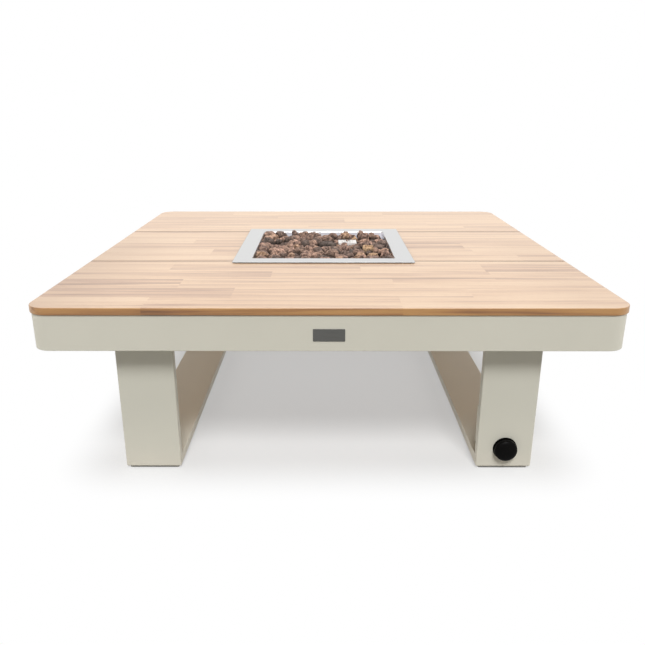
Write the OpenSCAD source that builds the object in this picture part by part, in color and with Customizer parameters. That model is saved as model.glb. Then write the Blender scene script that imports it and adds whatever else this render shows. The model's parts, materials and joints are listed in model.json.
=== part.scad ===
// Fire pit table: wooden top on a steel apron, sled legs and a gas burner full of lava rock.
// Millimetres, +Z up, origin on the floor under the middle of the top, front is -Y.

/* [Top] */
// Side of the square top
top_side = 1200; // [1100:10:1300]
// Height of the wooden top above the floor
top_h = 385; // [360:5:450]
// Thickness of the boards
top_t = 16; // [14:1:22]
// Radius of the corners of the top, seen from above
top_corner_r = 42; // [30:1:70]
// Gap between neighbouring boards
seam_gap = 2; // [1:0.5:4]
// Side of the square cut-out, also the depth of the middle board
cutout_side = 400; // [360:5:440]
// How far the boards stand out past the apron
top_overhang = 3; // [2:0.5:8]

/* [Apron] */
// Height of the apron
apron_h = 75; // [65:1:90]
// Sheet thickness of the apron
apron_wall = 3; // [2:0.5:4]
// Width of the apron's upper flange, under the boards
flange_top_w = 30; // [24:1:40]
// Width of the apron's lower flange
flange_low_w = 18; // [12:1:24]
// Width of the name plate
name_plate_w = 64; // [40:1:90]
// Height of the name plate
name_plate_h = 26; // [16:1:40]
// Thickness of the name plate
name_plate_t = 1.2; // [0.8:0.1:1.8]
// Name plate's middle below the wooden surface
name_plate_drop = 57; // [50:1:65]

/* [Frame] */
// Width of the bearers over the legs
bearer_w = 100; // [84:2:116]
// Height of the bearers and trimmers
bearer_h = 40; // [38:1:46]
// Wall of the bearers
bearer_wall = 3; // [2:0.5:4]
// Width of the trimmers around the cut-out
trimmer_w = 30; // [24:1:40]
// Wall of the trimmers
trimmer_wall = 2; // [1.5:0.5:3]

/* [Legs] */
// Width of the leg tube
leg_w = 120; // [110:2:140]
// Thickness of the leg tube
leg_t = 20; // [20:1:24]
// Wall of the leg tube
leg_wall = 2.5; // [1.5:0.1:2.5]
// Radius on the long edges of the leg tube
leg_edge_r = 4; // [3:0.5:6]
// Leg's front face behind the front edge of the top
leg_setback = 50; // [40:1:70]
// Leg's outer edge inside the side of the top
leg_inset = 156; // [140:1:180]
// Height of the glides
glide_h = 5; // [3:0.5:8]
// Glide's inset from the edges of the runner
glide_inset = 6; // [4:1:10]
// Length of a glide along the runner
glide_len = 40; // [30:1:80]
// Thickness of the leg's top plate
plate_t = 5; // [4:0.5:6]
// Depth of the leg's top plate
plate_d = 86; // [80:1:100]

/* [Fasteners] */
// Diameter of the leg bolts
bolt_d = 8; // [6:1:8]
// Spacing of the leg bolts across the plate
bolt_pitch_x = 72; // [66:1:78]
// Spacing of the leg bolts along the plate
bolt_pitch_y = 58; // [54:1:60]
// Diameter of the screws into the boards
screw_d = 4.5; // [3.5:0.5:5]
// Length of the screws above the flange, less than the board
screw_len = 11; // [8:0.5:12]

/* [Burner] */
// Clear gap between the tray's walls and the cut-out
tray_clear = 16.5; // [15:0.5:20]
// Width of the tray's rim
rim_w = 46; // [42:1:60]
// Sheet thickness of the tray
tray_sheet = 1.5; // [1:0.1:2]
// Outer depth of the tray
tray_depth = 70; // [68:1:72]
// How far the tray lies off the middle of the cut-out, to the right
tray_x = -11; // [-14:1:14]
// Thickness of the gasket under the rim
gasket_t = 2; // [1:0.5:4]
// Width of the gasket
gasket_w = 20; // [12:1:20]
// Grate below the top of the rim
bed_depth = 34; // [32:1:36]
// Thickness of the grate
grate_t = 2; // [1.5:0.5:3]
// Rows of slots in the grate
grate_rows = 13; // [9:1:15]
// Diameter of the burner tube
tube_d = 18; // [16:1:18]
// Wall of the burner tube
tube_wall = 1.5; // [1:0.1:2]
// Side of the burner loop, between tube axes
loop_side = 230; // [226:2:260]
// Radius of the loop's corners, on the tube axis
loop_r = 42; // [36:1:50]
// Diameter of a flame port
port_d = 2.5; // [2:0.5:4]
// Flame ports along each straight side
port_count = 7; // [3:1:9]

/* [Rocks] */
// Rocks along each side of the bed
rock_count = 10; // [9:1:12]
// Mean height of a rock over the grate
rock_h = 36; // [30:1:38]
// Clear gap kept between neighbouring rocks
rock_gap = 0.6; // [0.4:0.1:2]

/* [Igniter] */
// Igniter guard's middle, to the right of the table's middle
guard_x = 58; // [50:1:62]
// Igniter guard's middle, behind the table's middle
guard_y = 66; // [62:1:70]
// Width of the guard
guard_w = 52; // [50:1:56]
// Depth of the guard
guard_d = 46; // [44:1:50]
// Height of the guard over the grate
guard_h = 27; // [25:1:30]

/* [Control] */
// Height of the knob's axis above the floor
knob_z = 50; // [50:1:54]
// Diameter of the knob
knob_d = 49; // [46:0.5:52]
// Knob's face in front of the leg
knob_reach = 20; // [19:0.5:24]
// Rise of the knob's domed face over its rim
knob_dome = 5; // [3:0.5:5]
// Travel when the knob is pushed in
push_travel = 4; // [3:0.5:4]
// Diameter of the valve spindle
spindle_d = 6; // [6:0.5:7]
// Diameter of the gas pipe
pipe_d = 8; // [6:0.5:8]
// Diameter of the inlet nipple's stub
nipple_d = 8; // [7:0.5:9]
// Length of the inlet nipple's stub
nipple_len = 20; // [16:1:22]

/* [Hidden] */
$fn = 48;
eps = 0.5;
run_gap = 0.05;
fit_gap = 0.1;

// Top and apron
top_half = top_side / 2;
plank_z = top_h - top_t;
cut_half = cutout_side / 2;
seam_half = seam_gap / 2;
apron_half = top_half - top_overhang;
apron_in = apron_half - apron_wall;
apron_r = top_corner_r - top_overhang;
flange_in = apron_half - flange_top_w;
apron_low = plank_z - apron_h;
name_plate_z = top_h - name_plate_drop;
name_plate_r = 1.5;
flange_least_r = 6;

// Frame
bearer_low = plank_z - bearer_h;
bearer_mid_z = plank_z - bearer_h / 2;
leg_x = top_half - leg_inset - leg_w / 2;
bearer_side = leg_x - bearer_w / 2;

// Legs
leg_front = top_half - leg_setback;
leg_back = leg_front - leg_t;
leg_mid = leg_front - leg_t / 2;
leg_top = bearer_low - plate_t;
mitre_over = 10;
leg_inner_r = leg_edge_r - leg_wall + 0.5;
plate_w = leg_w - 2;
glide_r = 5;
bolt_head_w = bolt_d * 1.6;
bolt_head_h = bolt_d * 0.65;
nut_d = bolt_d + 3;
nut_lip_d = nut_d + 4;
nut_lip = 1;
nut_len = 14;
bolt_len = plate_t + nut_lip + 12;

// Screws into the boards
screw_head_d = screw_d * 1.9;
screw_head_h = 2.6;
screw_inset = (apron_wall + flange_top_w) / 2;
screw_line = apron_half - screw_inset;
screw_far = top_side * 0.375;
screw_near = top_side * 0.125;
screw_mid = cutout_side * 0.32;
screw_side = cut_half + (apron_half - cut_half) * 0.5;

// Tray and what stands in it
rim_top = top_h + gasket_t + tray_sheet;
tray_out = cut_half - tray_clear;
tray_mouth = 2 * (tray_out - tray_sheet);
rim_half = tray_mouth / 2 + rim_w;
tray_low = rim_top - tray_depth;
tray_floor = tray_low + tray_sheet;
rim_r = 3;
pan_r = 4;
gasket_out = rim_half - abs(tray_x) - 1;
gasket_r = 5;
grate_top = rim_top - bed_depth;
grate_low = grate_top - grate_t;
grate_half = tray_mouth / 2 - 2;
grate_r = 4;
ledge_w = 12;
ledge_half = grate_half * 0.9;
ledge_t = 1.5;
slot_w = 9;
slot_r = slot_w / 2 - 0.1;
slot_pitch_x = (2 * grate_half - 24) / 3;
slot_len = slot_pitch_x - 20;
slot_pitch_y = (2 * grate_half - 30) / grate_rows;
tube_lift = 9;
tube_z = tray_floor + tube_lift + tube_d / 2;
loop_half = loop_side / 2;
saddle_w = 26;
saddle_t = 4;
saddle_dx = loop_half * 0.55;
port_clear = 18;
stub_d = 14;
stub_wall = 2;
stub_drop = 18;
stub_low = tray_low - stub_drop;
locknut_w = 24;
locknut_h = 6;
elbow_w = 22;
elbow_h = 18;
elbow_reach = 20;
socket_len = 8;
jet_d = 3;

// Pilot assembly
pilot_x = guard_x;
pilot_y = guard_y + 2;
pin_dx = 10;
pin_dy = 8;
electrode_x = pilot_x - pin_dx;
electrode_y = pilot_y - pin_dy;
probe_x = pilot_x + pin_dx;
probe_y = pilot_y + pin_dy;
bracket_w = 44;
bracket_d = 28;
bracket_t = 2;
bracket_top = tray_floor + 22;
electrode_d = 6;
probe_d = 5;
pin_below = 8;
electrode_above = 20;
probe_above = 24;
collar_rim = 4;
collar_h = 3;
spark_d = 1.8;
spark_len = 10;
guard_t = 1;
guard_hole_d = 4.2;
guard_pitch = 7.4;
lead_d = 4;
thermo_d = 3;
lead_hole_d = 7;

// Rocks
rock_sides = 7;
rock_pitch = (2 * grate_half - 4) / rock_count;
rock_shift = 0.2;
rock_stray = 3.5;
rock_limit = 0.62 * rock_pitch;
rock_least = 0.28 * rock_pitch;
rock_rings = [[0, 0.72], [0.36, 1], [0.78, 0.84], [1, 0.42]];
rock_vary = 0.14;
rock_h_vary = 8;
rock_sag = 0.06;
rock_top_sag = 0.14;
bed_fall = 16;
bed_fall_from = 1.2;

// Gas pipe and leads
pipe_z = stub_low;
pipe_wall = 1;
pipe_bend = 24;
lead_bend = 8;
lead_step = 14;
pipe_rise_x = bearer_side - 40;
lead_z = tray_low - 12;
thermo_z = tray_low - 6;
lead_rise_x = bearer_side - 22;
thermo_y = -30;
grommet_lip = 2;
grommet_lip_t = 2;
grommet_d = pipe_d + 6;
chase_w = 12;
chase_r = chase_w / 2 - 0.1;
chase_len = 2 * lead_step + chase_w + 4;

// Valve, knob and cover
valve_w = 36;
valve_h = 40;
valve_depth = 58;
valve_nose_d = 14;
valve_flange_w = 50;
valve_flange_h = 20;
valve_flange_t = 3;
valve_low = knob_z - valve_h / 2;
valve_top = knob_z + valve_h / 2;
valve_front = leg_front - leg_wall;
valve_back = valve_front - valve_depth;
valve_rear_y = -(valve_back + 16);
boss_d = 8;
boss_h = 6;
valve_screw_d = 4;
valve_screw_dx = 15;
valve_screw_in = 8;
nipple_in = 8;
valve_screw_head_d = 7;
valve_screw_head_h = 2.2;
bezel_d = knob_d + 3;
bezel_t = 2;
knob_rest = bezel_t + push_travel + 0.4;
knob_skirt = 3;
knob_hollow = 4;
knob_hub_d = spindle_d + 9;
knob_end_gap = 0.5;
knob_dot_y = 16;
knob_dot_d = 2.6;
spindle_tip = leg_front + knob_reach - push_travel - 4;
spindle_root = valve_front - 10;
spindle_flat = spindle_d / 2 - 1;
window_w = 60;
window_low = valve_low - 2;
window_top = valve_top + 36;
lead_turn_z = valve_top + 24;
cover_w = 90;
cover_t = 1.5;
cover_top = window_top + 8;
cover_depth = 62;
cover_tab = 14;
cover_floor = glide_h + leg_t;
cover_screw_d = 4;
cover_screw_dx = cover_w * 0.36;
cover_screw_h = 2.4;
pipe_nut_w = min(13.5, leg_t - 2 * leg_wall - 1.5);
pipe_nut_h = 14;
pipe_end_z = valve_top + 4;
nipple_shank_d = nipple_d + 1.5;
nipple_hex = nipple_d + 6;
nipple_hex_t = 5;

// Colours
wood_colour = [0.90, 0.78, 0.68];
paint_colour = [0.78, 0.76, 0.72];
steel_colour = [0.86, 0.87, 0.88];
zinc_colour = [0.62, 0.63, 0.65];
black_colour = [0.06, 0.06, 0.06];
brass_colour = [0.78, 0.62, 0.30];
rock_colour = [0.48, 0.38, 0.33];
copper_colour = [0.72, 0.45, 0.30];
ceramic_colour = [0.93, 0.91, 0.86];

// Flat rectangle with round corners, centred
module round_rect(w, d, r) {
    square([w - 2 * r, d], center = true);
    square([w, d - 2 * r], center = true);
    for (sx = [-1, 1], sy = [-1, 1])
        translate([sx * (w / 2 - r), sy * (d / 2 - r)])
            circle(r);
}

// Square plate centred on x and y, from z0 to z1, with round corners
module round_block(half, r, z0, z1) {
    translate([0, 0, z0])
        linear_extrude(z1 - z0)
            round_rect(2 * half, 2 * half, r);
}

// Plain box from one corner to the other
module span(a, b) {
    translate(a)
        cube(b - a);
}

// Hexagonal bar centred on the axis, given across its flats
module hex_bar(flats, h) {
    linear_extrude(h)
        polygon([for (k = [0 : 5]) flats / sqrt(3) * [cos(60 * k), sin(60 * k)]]);
}

// Pipe along a route of points, straight runs joined by round bends
function unit(v) = v / norm(v);
function run_in(p, k, r) = k == 0 ? p[0] : p[k] + r * unit(p[k + 1] - p[k]);
function run_out(p, k, r) = k == len(p) - 2 ? p[k + 1] : p[k + 1] - r * unit(p[k + 1] - p[k]);

module aimed(at, x, y) {
    z = cross(x, y);
    multmatrix([
        [x[0], y[0], z[0], at[0]],
        [x[1], y[1], z[1], at[1]],
        [x[2], y[2], z[2], at[2]],
        [0, 0, 0, 1]
    ])
        children();
}

module along(a, b, d) {
    v = unit(b - a);
    side = abs(v[2]) > 0.9 ? [1, 0, 0] : [0, 0, 1];
    y = cross(v, side);
    aimed(a, side, y)
        cylinder(d = d, h = norm(b - a));
}

module bend(p, k, r, d) {
    a = unit(p[k] - p[k - 1]);
    b = unit(p[k + 1] - p[k]);
    aimed(p[k] - r * a + r * b, -b, a)
        rotate_extrude(angle = 90)
            translate([r, 0])
                circle(d = d);
}

// The same route with both ends a little longer, to bore a pipe right through
function stretched(p) = let (n = len(p) - 1) concat(
    [p[0] - eps * unit(p[1] - p[0])],
    [for (k = [1 : n - 1]) p[k]],
    [p[n] + eps * unit(p[n] - p[n - 1])]
);

module route(p, r, d) {
    for (k = [0 : len(p) - 2])
        along(run_in(p, k, r), run_out(p, k, r), d);
    for (k = [1 : len(p) - 2])
        bend(p, k, r, d);
}

// Wooden top
function screw_spots() = concat(
    [for (sy = [-1, 1], x = [-screw_far, -screw_near, screw_near, screw_far])
        [x, sy * screw_line]],
    [for (sx = [-1, 1], y = [-screw_side, -screw_mid, screw_mid, screw_side])
        [sx * screw_line, y]]
);

module top_sheet() {
    difference() {
        round_block(top_half, top_corner_r, plank_z, top_h);
        for (p = screw_spots())
            translate([p[0], p[1], plank_z - eps])
                cylinder(d = screw_d + 2 * fit_gap, h = screw_len + 1 + eps);
    }
}

module top_plank(side) {
    color(wood_colour)
        intersection() {
            top_sheet();
            translate([0, side * (top_half + cut_half + seam_half) / 2, plank_z + top_t / 2])
                cube([top_side + 2, top_half - cut_half - seam_half, top_t + 2], center = true);
        }
}

module top_panel(side) {
    color(wood_colour)
        intersection() {
            top_sheet();
            translate([side * (top_half + cut_half) / 2, 0, plank_z + top_t / 2])
                cube([top_half - cut_half, cutout_side - seam_gap, top_t + 2], center = true);
        }
}

module top_plank_front() {
    top_plank(-1);
}

module top_plank_rear() {
    top_plank(1);
}

module top_panel_left() {
    top_panel(-1);
}

module top_panel_right() {
    top_panel(1);
}

// Apron: one bent sheet with a flange at the top and at the bottom
module apron_frame() {
    flange_r = max(apron_r - flange_top_w, flange_least_r);
    color(paint_colour)
        difference() {
            round_block(apron_half, apron_r, apron_low, plank_z);
            round_block(apron_in, apron_r - apron_wall, apron_low + apron_wall, plank_z - apron_wall);
            round_block(flange_in, flange_r, plank_z - apron_wall - eps, plank_z + eps);
            round_block(apron_half - flange_low_w, apron_r - flange_low_w,
                apron_low - eps, apron_low + apron_wall + eps);
            for (p = screw_spots())
                translate([p[0], p[1], plank_z - apron_wall - eps])
                    cylinder(d = screw_d + 1, h = apron_wall + 2 * eps);
        }
}

module plank_screws() {
    color(zinc_colour)
        for (p = screw_spots())
            translate([p[0], p[1], plank_z - apron_wall]) {
                translate([0, 0, -screw_head_h])
                    cylinder(d = screw_head_d, h = screw_head_h);
                cylinder(d = screw_d, h = apron_wall + screw_len);
            }
}

module name_plate() {
    color(zinc_colour)
        translate([0, -apron_half, name_plate_z])
            rotate([90, 0, 0])
                linear_extrude(name_plate_t)
                    round_rect(name_plate_w, name_plate_h, name_plate_r);
}

// Frame inside the apron
module bearer(side) {
    x = side * leg_x;
    difference() {
        translate([x, 0, bearer_mid_z])
            cube([bearer_w, 2 * apron_in, bearer_h], center = true);
        translate([x, 0, bearer_mid_z])
            cube([bearer_w - 2 * bearer_wall, 2 * apron_in + 2, bearer_h - 2 * bearer_wall], center = true);
        // Ends cut away under the apron's flange
        for (sy = [-1, 1])
            translate([x, sy * (apron_in + flange_in) / 2, plank_z])
                cube([bearer_w + 2, apron_in - flange_in, 2 * apron_wall], center = true);
        for (sy = [-1, 1], dx = [-1, 1], dy = [-1, 1])
            translate([x + dx * bolt_pitch_x / 2, sy * leg_mid + dy * bolt_pitch_y / 2, bearer_low - eps])
                cylinder(d = nut_d + 2 * fit_gap, h = bearer_wall + 2 * eps);
    }
}

module bearer_left() {
    color(paint_colour)
        bearer(-1);
}

module bearer_right() {
    color(paint_colour)
        difference() {
            bearer(1);
            chase(bearer_low - eps, bearer_low + bearer_wall + eps);
            translate([bearer_side - eps, 0, bearer_mid_z])
                rotate([0, 90, 0])
                    cylinder(d = grommet_d + 2 * fit_gap, h = bearer_wall + 2 * eps);
            for (y = [electrode_y, thermo_y])
                translate([bearer_side - eps, y, bearer_mid_z])
                    rotate([0, 90, 0])
                        cylinder(d = lead_hole_d, h = bearer_wall + 2 * eps);
        }
}

// Long hole for the pipe and leads into the right front upright
module chase(z0, z1) {
    translate([leg_x, -leg_mid, z0])
        linear_extrude(z1 - z0)
            round_rect(chase_len, chase_w, chase_r);
}

module trimmer_x(side) {
    len_x = 2 * bearer_side;
    color(paint_colour)
        translate([0, side * (cut_half + trimmer_w / 2), bearer_mid_z])
            difference() {
                cube([len_x, trimmer_w, bearer_h], center = true);
                cube([len_x + 2, trimmer_w - 2 * trimmer_wall, bearer_h - 2 * trimmer_wall], center = true);
            }
}

module trimmer_y(side) {
    color(paint_colour)
        translate([side * (cut_half + trimmer_w / 2), 0, bearer_mid_z])
            difference() {
                cube([trimmer_w, cutout_side, bearer_h], center = true);
                cube([trimmer_w - 2 * trimmer_wall, cutout_side + 2, bearer_h - 2 * trimmer_wall], center = true);
            }
}

module trimmer_front() {
    trimmer_x(-1);
}

module trimmer_rear() {
    trimmer_x(1);
}

module trimmer_left() {
    trimmer_y(-1);
}

module trimmer_right() {
    trimmer_y(1);
}

// Sled legs of flat tube, mitred where upright and runner meet
module leg_profile() {
    difference() {
        round_rect(leg_w, leg_t, leg_edge_r);
        round_rect(leg_w - 2 * leg_wall, leg_t - 2 * leg_wall, leg_inner_r);
    }
}

// Wedge that a mitre takes off, below the diagonal from the outer to the inner corner
module mitre_cut(side, end) {
    translate([side * leg_x + leg_w / 2 + 1, 0, 0])
        rotate([0, -90, 0])
            linear_extrude(leg_w + 2)
                polygon([
                    [glide_h - mitre_over, end * (leg_front + mitre_over)],
                    [glide_h + leg_t + mitre_over, end * (leg_back - mitre_over)],
                    [glide_h - mitre_over, end * (leg_back - mitre_over)]
                ]);
}

module leg_upright(side, end) {
    difference() {
        translate([side * leg_x, end * leg_mid, glide_h])
            linear_extrude(leg_top - glide_h)
                leg_profile();
        mitre_cut(side, end);
    }
}

module leg_runner(side) {
    intersection() {
        translate([side * leg_x, leg_front, glide_h + leg_t / 2])
            rotate([90, 0, 0])
                linear_extrude(2 * leg_front)
                    leg_profile();
        translate([side * leg_x + leg_w / 2 + 1, 0, 0])
            rotate([0, -90, 0])
                linear_extrude(leg_w + 2)
                    polygon([
                        [glide_h, leg_front],
                        [glide_h + leg_t, leg_back],
                        [glide_h + leg_t, -leg_back],
                        [glide_h, -leg_front]
                    ]);
    }
}

module leg_left_front() {
    color(paint_colour)
        leg_upright(-1, -1);
}

module leg_left_runner() {
    color(paint_colour)
        leg_runner(-1);
}

module leg_left_rear() {
    color(paint_colour)
        leg_upright(-1, 1);
}

module leg_right_front() {
    color(paint_colour)
        difference() {
            leg_upright(1, -1);
            span([leg_x - window_w / 2, -leg_back - leg_wall - 1, window_low],
                [leg_x + window_w / 2, -leg_back + 1, window_top]);
            translate([leg_x, -leg_front - 1, knob_z])
                rotate([-90, 0, 0])
                    cylinder(d = valve_nose_d + 1, h = leg_wall + 2);
            for (s = [-1, 1])
                translate([leg_x + s * valve_screw_dx, -leg_front - 1, knob_z])
                    rotate([-90, 0, 0])
                        cylinder(d = valve_screw_d + 1, h = leg_wall + 2);
            for (p = cover_screw_spots())
                translate([p[0], -leg_back - leg_wall - 1, p[1]])
                    rotate([-90, 0, 0])
                        cylinder(d = cover_screw_d + 2 * fit_gap, h = leg_wall + 2);
        }
}

module leg_right_runner() {
    color(paint_colour)
        leg_runner(1);
}

module leg_right_rear() {
    color(paint_colour)
        leg_upright(1, 1);
}

module leg_top_plates() {
    color(paint_colour)
        difference() {
            for (side = [-1, 1], end = [-1, 1])
                translate([side * leg_x, end * leg_mid, leg_top + plate_t / 2])
                    cube([plate_w, plate_d, plate_t], center = true);
            for (p = bolt_spots())
                translate([p[0], p[1], leg_top - eps])
                    cylinder(d = bolt_d + 1, h = plate_t + 2 * eps);
            chase(leg_top - eps, bearer_low + eps);
        }
}

function bolt_spots() = [
    for (side = [-1, 1], end = [-1, 1], dx = [-1, 1], dy = [-1, 1])
        [side * leg_x + dx * bolt_pitch_x / 2, end * leg_mid + dy * bolt_pitch_y / 2]
];

module leg_bolts() {
    color(zinc_colour)
        for (p = bolt_spots())
            translate([p[0], p[1], leg_top]) {
                translate([0, 0, -bolt_head_h])
                    hex_bar(bolt_head_w, bolt_head_h);
                cylinder(d = bolt_d, h = bolt_len);
            }
}

// Rivet nuts closed into the bearers' lower wall
module leg_rivet_nuts() {
    color(zinc_colour)
        for (p = bolt_spots())
            translate([p[0], p[1], bearer_low])
                difference() {
                    union() {
                        cylinder(d = nut_d, h = nut_len);
                        translate([0, 0, bearer_wall])
                            cylinder(d = nut_lip_d, h = nut_lip + 1);
                    }
                    translate([0, 0, -eps])
                        cylinder(d = bolt_d + 2 * fit_gap, h = nut_len + 2 * eps);
                }
}

module foot_glides() {
    color(black_colour)
        for (side = [-1, 1], end = [-1, 1])
            translate([side * leg_x, end * (leg_front - leg_edge_r - glide_len / 2), 0])
                linear_extrude(glide_h)
                    round_rect(leg_w - 2 * glide_inset, glide_len, glide_r);
}

// Burner tray
module tray_gasket() {
    color(black_colour)
        difference() {
            round_block(gasket_out, gasket_r, top_h, top_h + gasket_t);
            round_block(gasket_out - gasket_w, gasket_r, top_h - eps, top_h + gasket_t + eps);
        }
}

module burner_tray() {
    color(steel_colour)
        translate([tray_x, 0, 0])
            difference() {
                union() {
                    round_block(rim_half, rim_r, rim_top - tray_sheet, rim_top);
                    round_block(tray_out, pan_r, tray_low, rim_top);
                }
                round_block(tray_mouth / 2, pan_r - tray_sheet / 2, tray_floor, rim_top + eps);
                translate([0, 0, tray_low - eps])
                    cylinder(d = stub_d + 1, h = tray_sheet + 2 * eps);
                translate([electrode_x - tray_x, electrode_y, tray_low - eps])
                    cylinder(d = lead_hole_d, h = tray_sheet + 2 * eps);
                translate([probe_x - tray_x, probe_y, tray_low - eps])
                    cylinder(d = lead_hole_d, h = tray_sheet + 2 * eps);
            }
}

module grate_ledges() {
    wall_x = tray_mouth / 2;
    color(steel_colour)
        for (s = [-1, 1])
            translate([tray_x, 0, 0])
                mirror([s < 0 ? 1 : 0, 0, 0]) {
                    span([wall_x - ledge_w, -ledge_half, grate_low - ledge_t],
                        [wall_x, ledge_half, grate_low]);
                    span([wall_x - ledge_t, -ledge_half, grate_low - ledge_w],
                        [wall_x, ledge_half, grate_low]);
                }
}

module rock_grate() {
    color(steel_colour)
        difference() {
            translate([tray_x, 0, grate_low])
                linear_extrude(grate_t)
                    round_rect(2 * grate_half, 2 * grate_half, grate_r);
            for (r = [0 : grate_rows - 1], c = [-1, 0, 1])
                translate([
                    tray_x + c * slot_pitch_x,
                    (r - (grate_rows - 1) / 2) * slot_pitch_y,
                    grate_low - eps
                ])
                    linear_extrude(grate_t + 2 * eps)
                        round_rect(slot_len, slot_w, slot_r);
            // Way up for electrode and thermocouple
            translate([pilot_x, pilot_y, grate_low + grate_t / 2])
                cube([guard_w - 14, guard_d - 12, grate_t + 2], center = true);
        }
}

// Burner: a square loop with a cross tube, fed from below
module loop_solid(d) {
    straight = loop_side - 2 * loop_r;
    for (q = [0 : 3])
        rotate([0, 0, 90 * q]) {
            translate([-straight / 2, -loop_half, 0])
                rotate([0, 90, 0])
                    cylinder(d = d, h = straight);
            translate([loop_half - loop_r, -loop_half + loop_r, 0])
                rotate([0, 0, -90])
                    rotate_extrude(angle = 90)
                        translate([loop_r, 0])
                            circle(d = d);
        }
    translate([-loop_half, 0, 0])
        rotate([0, 90, 0])
            cylinder(d = d, h = loop_side);
}

module burner_tube() {
    port_pitch = (loop_side - 2 * loop_r - port_clear) / (port_count - 1);
    color(steel_colour)
        translate([tray_x, 0, 0])
            difference() {
                union() {
                    translate([0, 0, tube_z])
                        loop_solid(tube_d);
                    translate([0, 0, stub_low])
                        cylinder(d = stub_d, h = tube_z - stub_low);
                }
                translate([0, 0, tube_z])
                    loop_solid(tube_d - 2 * tube_wall);
                translate([0, 0, stub_low - eps])
                    cylinder(d = stub_d - 2 * stub_wall, h = tube_z - stub_low + eps);
                for (q = [0 : 3], k = [0 : port_count - 1])
                    rotate([0, 0, 90 * q])
                        translate([(k - (port_count - 1) / 2) * port_pitch, -loop_half, tube_z])
                            cylinder(d = port_d, h = tube_d);
                for (k = [0 : port_count - 1], s = [-1, 1])
                    translate([s * (port_clear + k * (loop_half - 2 * port_clear) / (port_count - 1)), 0, tube_z])
                        cylinder(d = port_d, h = tube_d);
            }
}

module burner_saddles() {
    color(steel_colour)
        translate([tray_x, 0, 0])
            for (sx = [-1, 1], sy = [-1, 1])
                difference() {
                    translate([sx * saddle_dx, sy * loop_half, (tray_floor + tube_z) / 2])
                        cube([saddle_t, saddle_w, tube_z - tray_floor], center = true);
                    translate([-loop_half, sy * loop_half, tube_z])
                        rotate([0, 90, 0])
                            cylinder(d = tube_d + 2 * fit_gap, h = loop_side);
                }
}

module burner_locknut() {
    color(brass_colour)
        translate([tray_x, 0, tray_low - locknut_h])
            difference() {
                hex_bar(locknut_w, locknut_h);
                translate([0, 0, -eps])
                    cylinder(d = stub_d + 2 * fit_gap, h = locknut_h + 2 * eps);
            }
}

module injector_elbow() {
    top = tray_low - locknut_h;
    low = top - elbow_h;
    color(brass_colour)
        translate([tray_x, 0, 0])
            difference() {
                span([-elbow_w / 2, -elbow_w / 2, low], [elbow_reach, elbow_w / 2, top]);
                translate([0, 0, stub_low - fit_gap])
                    cylinder(d = stub_d + 2 * fit_gap, h = stub_drop + elbow_h);
                translate([elbow_reach - socket_len, 0, pipe_z])
                    rotate([0, 90, 0])
                        cylinder(d = pipe_d + 2 * fit_gap, h = socket_len + eps);
                translate([0, 0, pipe_z])
                    rotate([0, 90, 0])
                        cylinder(d = jet_d, h = elbow_reach);
            }
}

// Gas pipe: elbow, across under the tray, through the bearer, down inside the leg
function pipe_route() = [
    [tray_x + elbow_reach - socket_len, 0, pipe_z],
    [pipe_rise_x, 0, pipe_z],
    [pipe_rise_x, 0, bearer_mid_z],
    [leg_x, 0, bearer_mid_z],
    [leg_x, -leg_mid, bearer_mid_z],
    [leg_x, -leg_mid, pipe_end_z]
];

module gas_pipe() {
    color(copper_colour)
        difference() {
            route(pipe_route(), pipe_bend, pipe_d);
            route(stretched(pipe_route()), pipe_bend, pipe_d - 2 * pipe_wall);
        }
}

module pipe_nut() {
    color(brass_colour)
        translate([leg_x, -leg_mid, valve_top])
            difference() {
                hex_bar(pipe_nut_w, pipe_nut_h);
                translate([0, 0, pipe_end_z - valve_top])
                    cylinder(d = pipe_d + 2 * fit_gap, h = pipe_nut_h);
                translate([0, 0, -eps])
                    cylinder(d = pipe_d - 2 * pipe_wall, h = pipe_nut_h);
            }
}

module pipe_grommet() {
    lip_d = grommet_d + 2 * grommet_lip;
    color(black_colour)
        translate([bearer_side, 0, bearer_mid_z])
            rotate([0, 90, 0])
                difference() {
                    union() {
                        translate([0, 0, -grommet_lip_t])
                            cylinder(d = grommet_d, h = bearer_wall + 2 * grommet_lip_t);
                        translate([0, 0, -grommet_lip_t])
                            cylinder(d = lip_d, h = grommet_lip_t);
                        translate([0, 0, bearer_wall])
                            cylinder(d = lip_d, h = grommet_lip_t);
                    }
                    translate([0, 0, -grommet_lip_t - eps])
                        cylinder(d = pipe_d + 2 * fit_gap, h = bearer_wall + 3 * grommet_lip_t);
                }
}

// Pilot: electrode and thermocouple on a bracket, a guard over them
module pilot_bracket() {
    color(steel_colour)
        difference() {
            translate([pilot_x - bracket_w / 2, pilot_y - bracket_d / 2, tray_floor])
                cube([bracket_w, bracket_d, bracket_top - tray_floor]);
            translate([pilot_x - bracket_w / 2 + bracket_t, pilot_y - bracket_d / 2 - 1, tray_floor - 1])
                cube([bracket_w - 2 * bracket_t, bracket_d + 2, bracket_top - tray_floor + 1 - bracket_t]);
            translate([electrode_x, electrode_y, tray_floor])
                cylinder(d = electrode_d + 2 * fit_gap, h = bracket_top);
            translate([probe_x, probe_y, tray_floor])
                cylinder(d = probe_d + 2 * fit_gap, h = bracket_top);
        }
}

module igniter_electrode() {
    color(ceramic_colour)
        translate([electrode_x, electrode_y, 0]) {
            translate([0, 0, bracket_top - pin_below])
                cylinder(d = electrode_d, h = pin_below + electrode_above);
            translate([0, 0, bracket_top])
                cylinder(d = electrode_d + collar_rim, h = collar_h);
            translate([0, 0, bracket_top + electrode_above])
                cylinder(d = spark_d, h = spark_len);
        }
}

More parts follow.
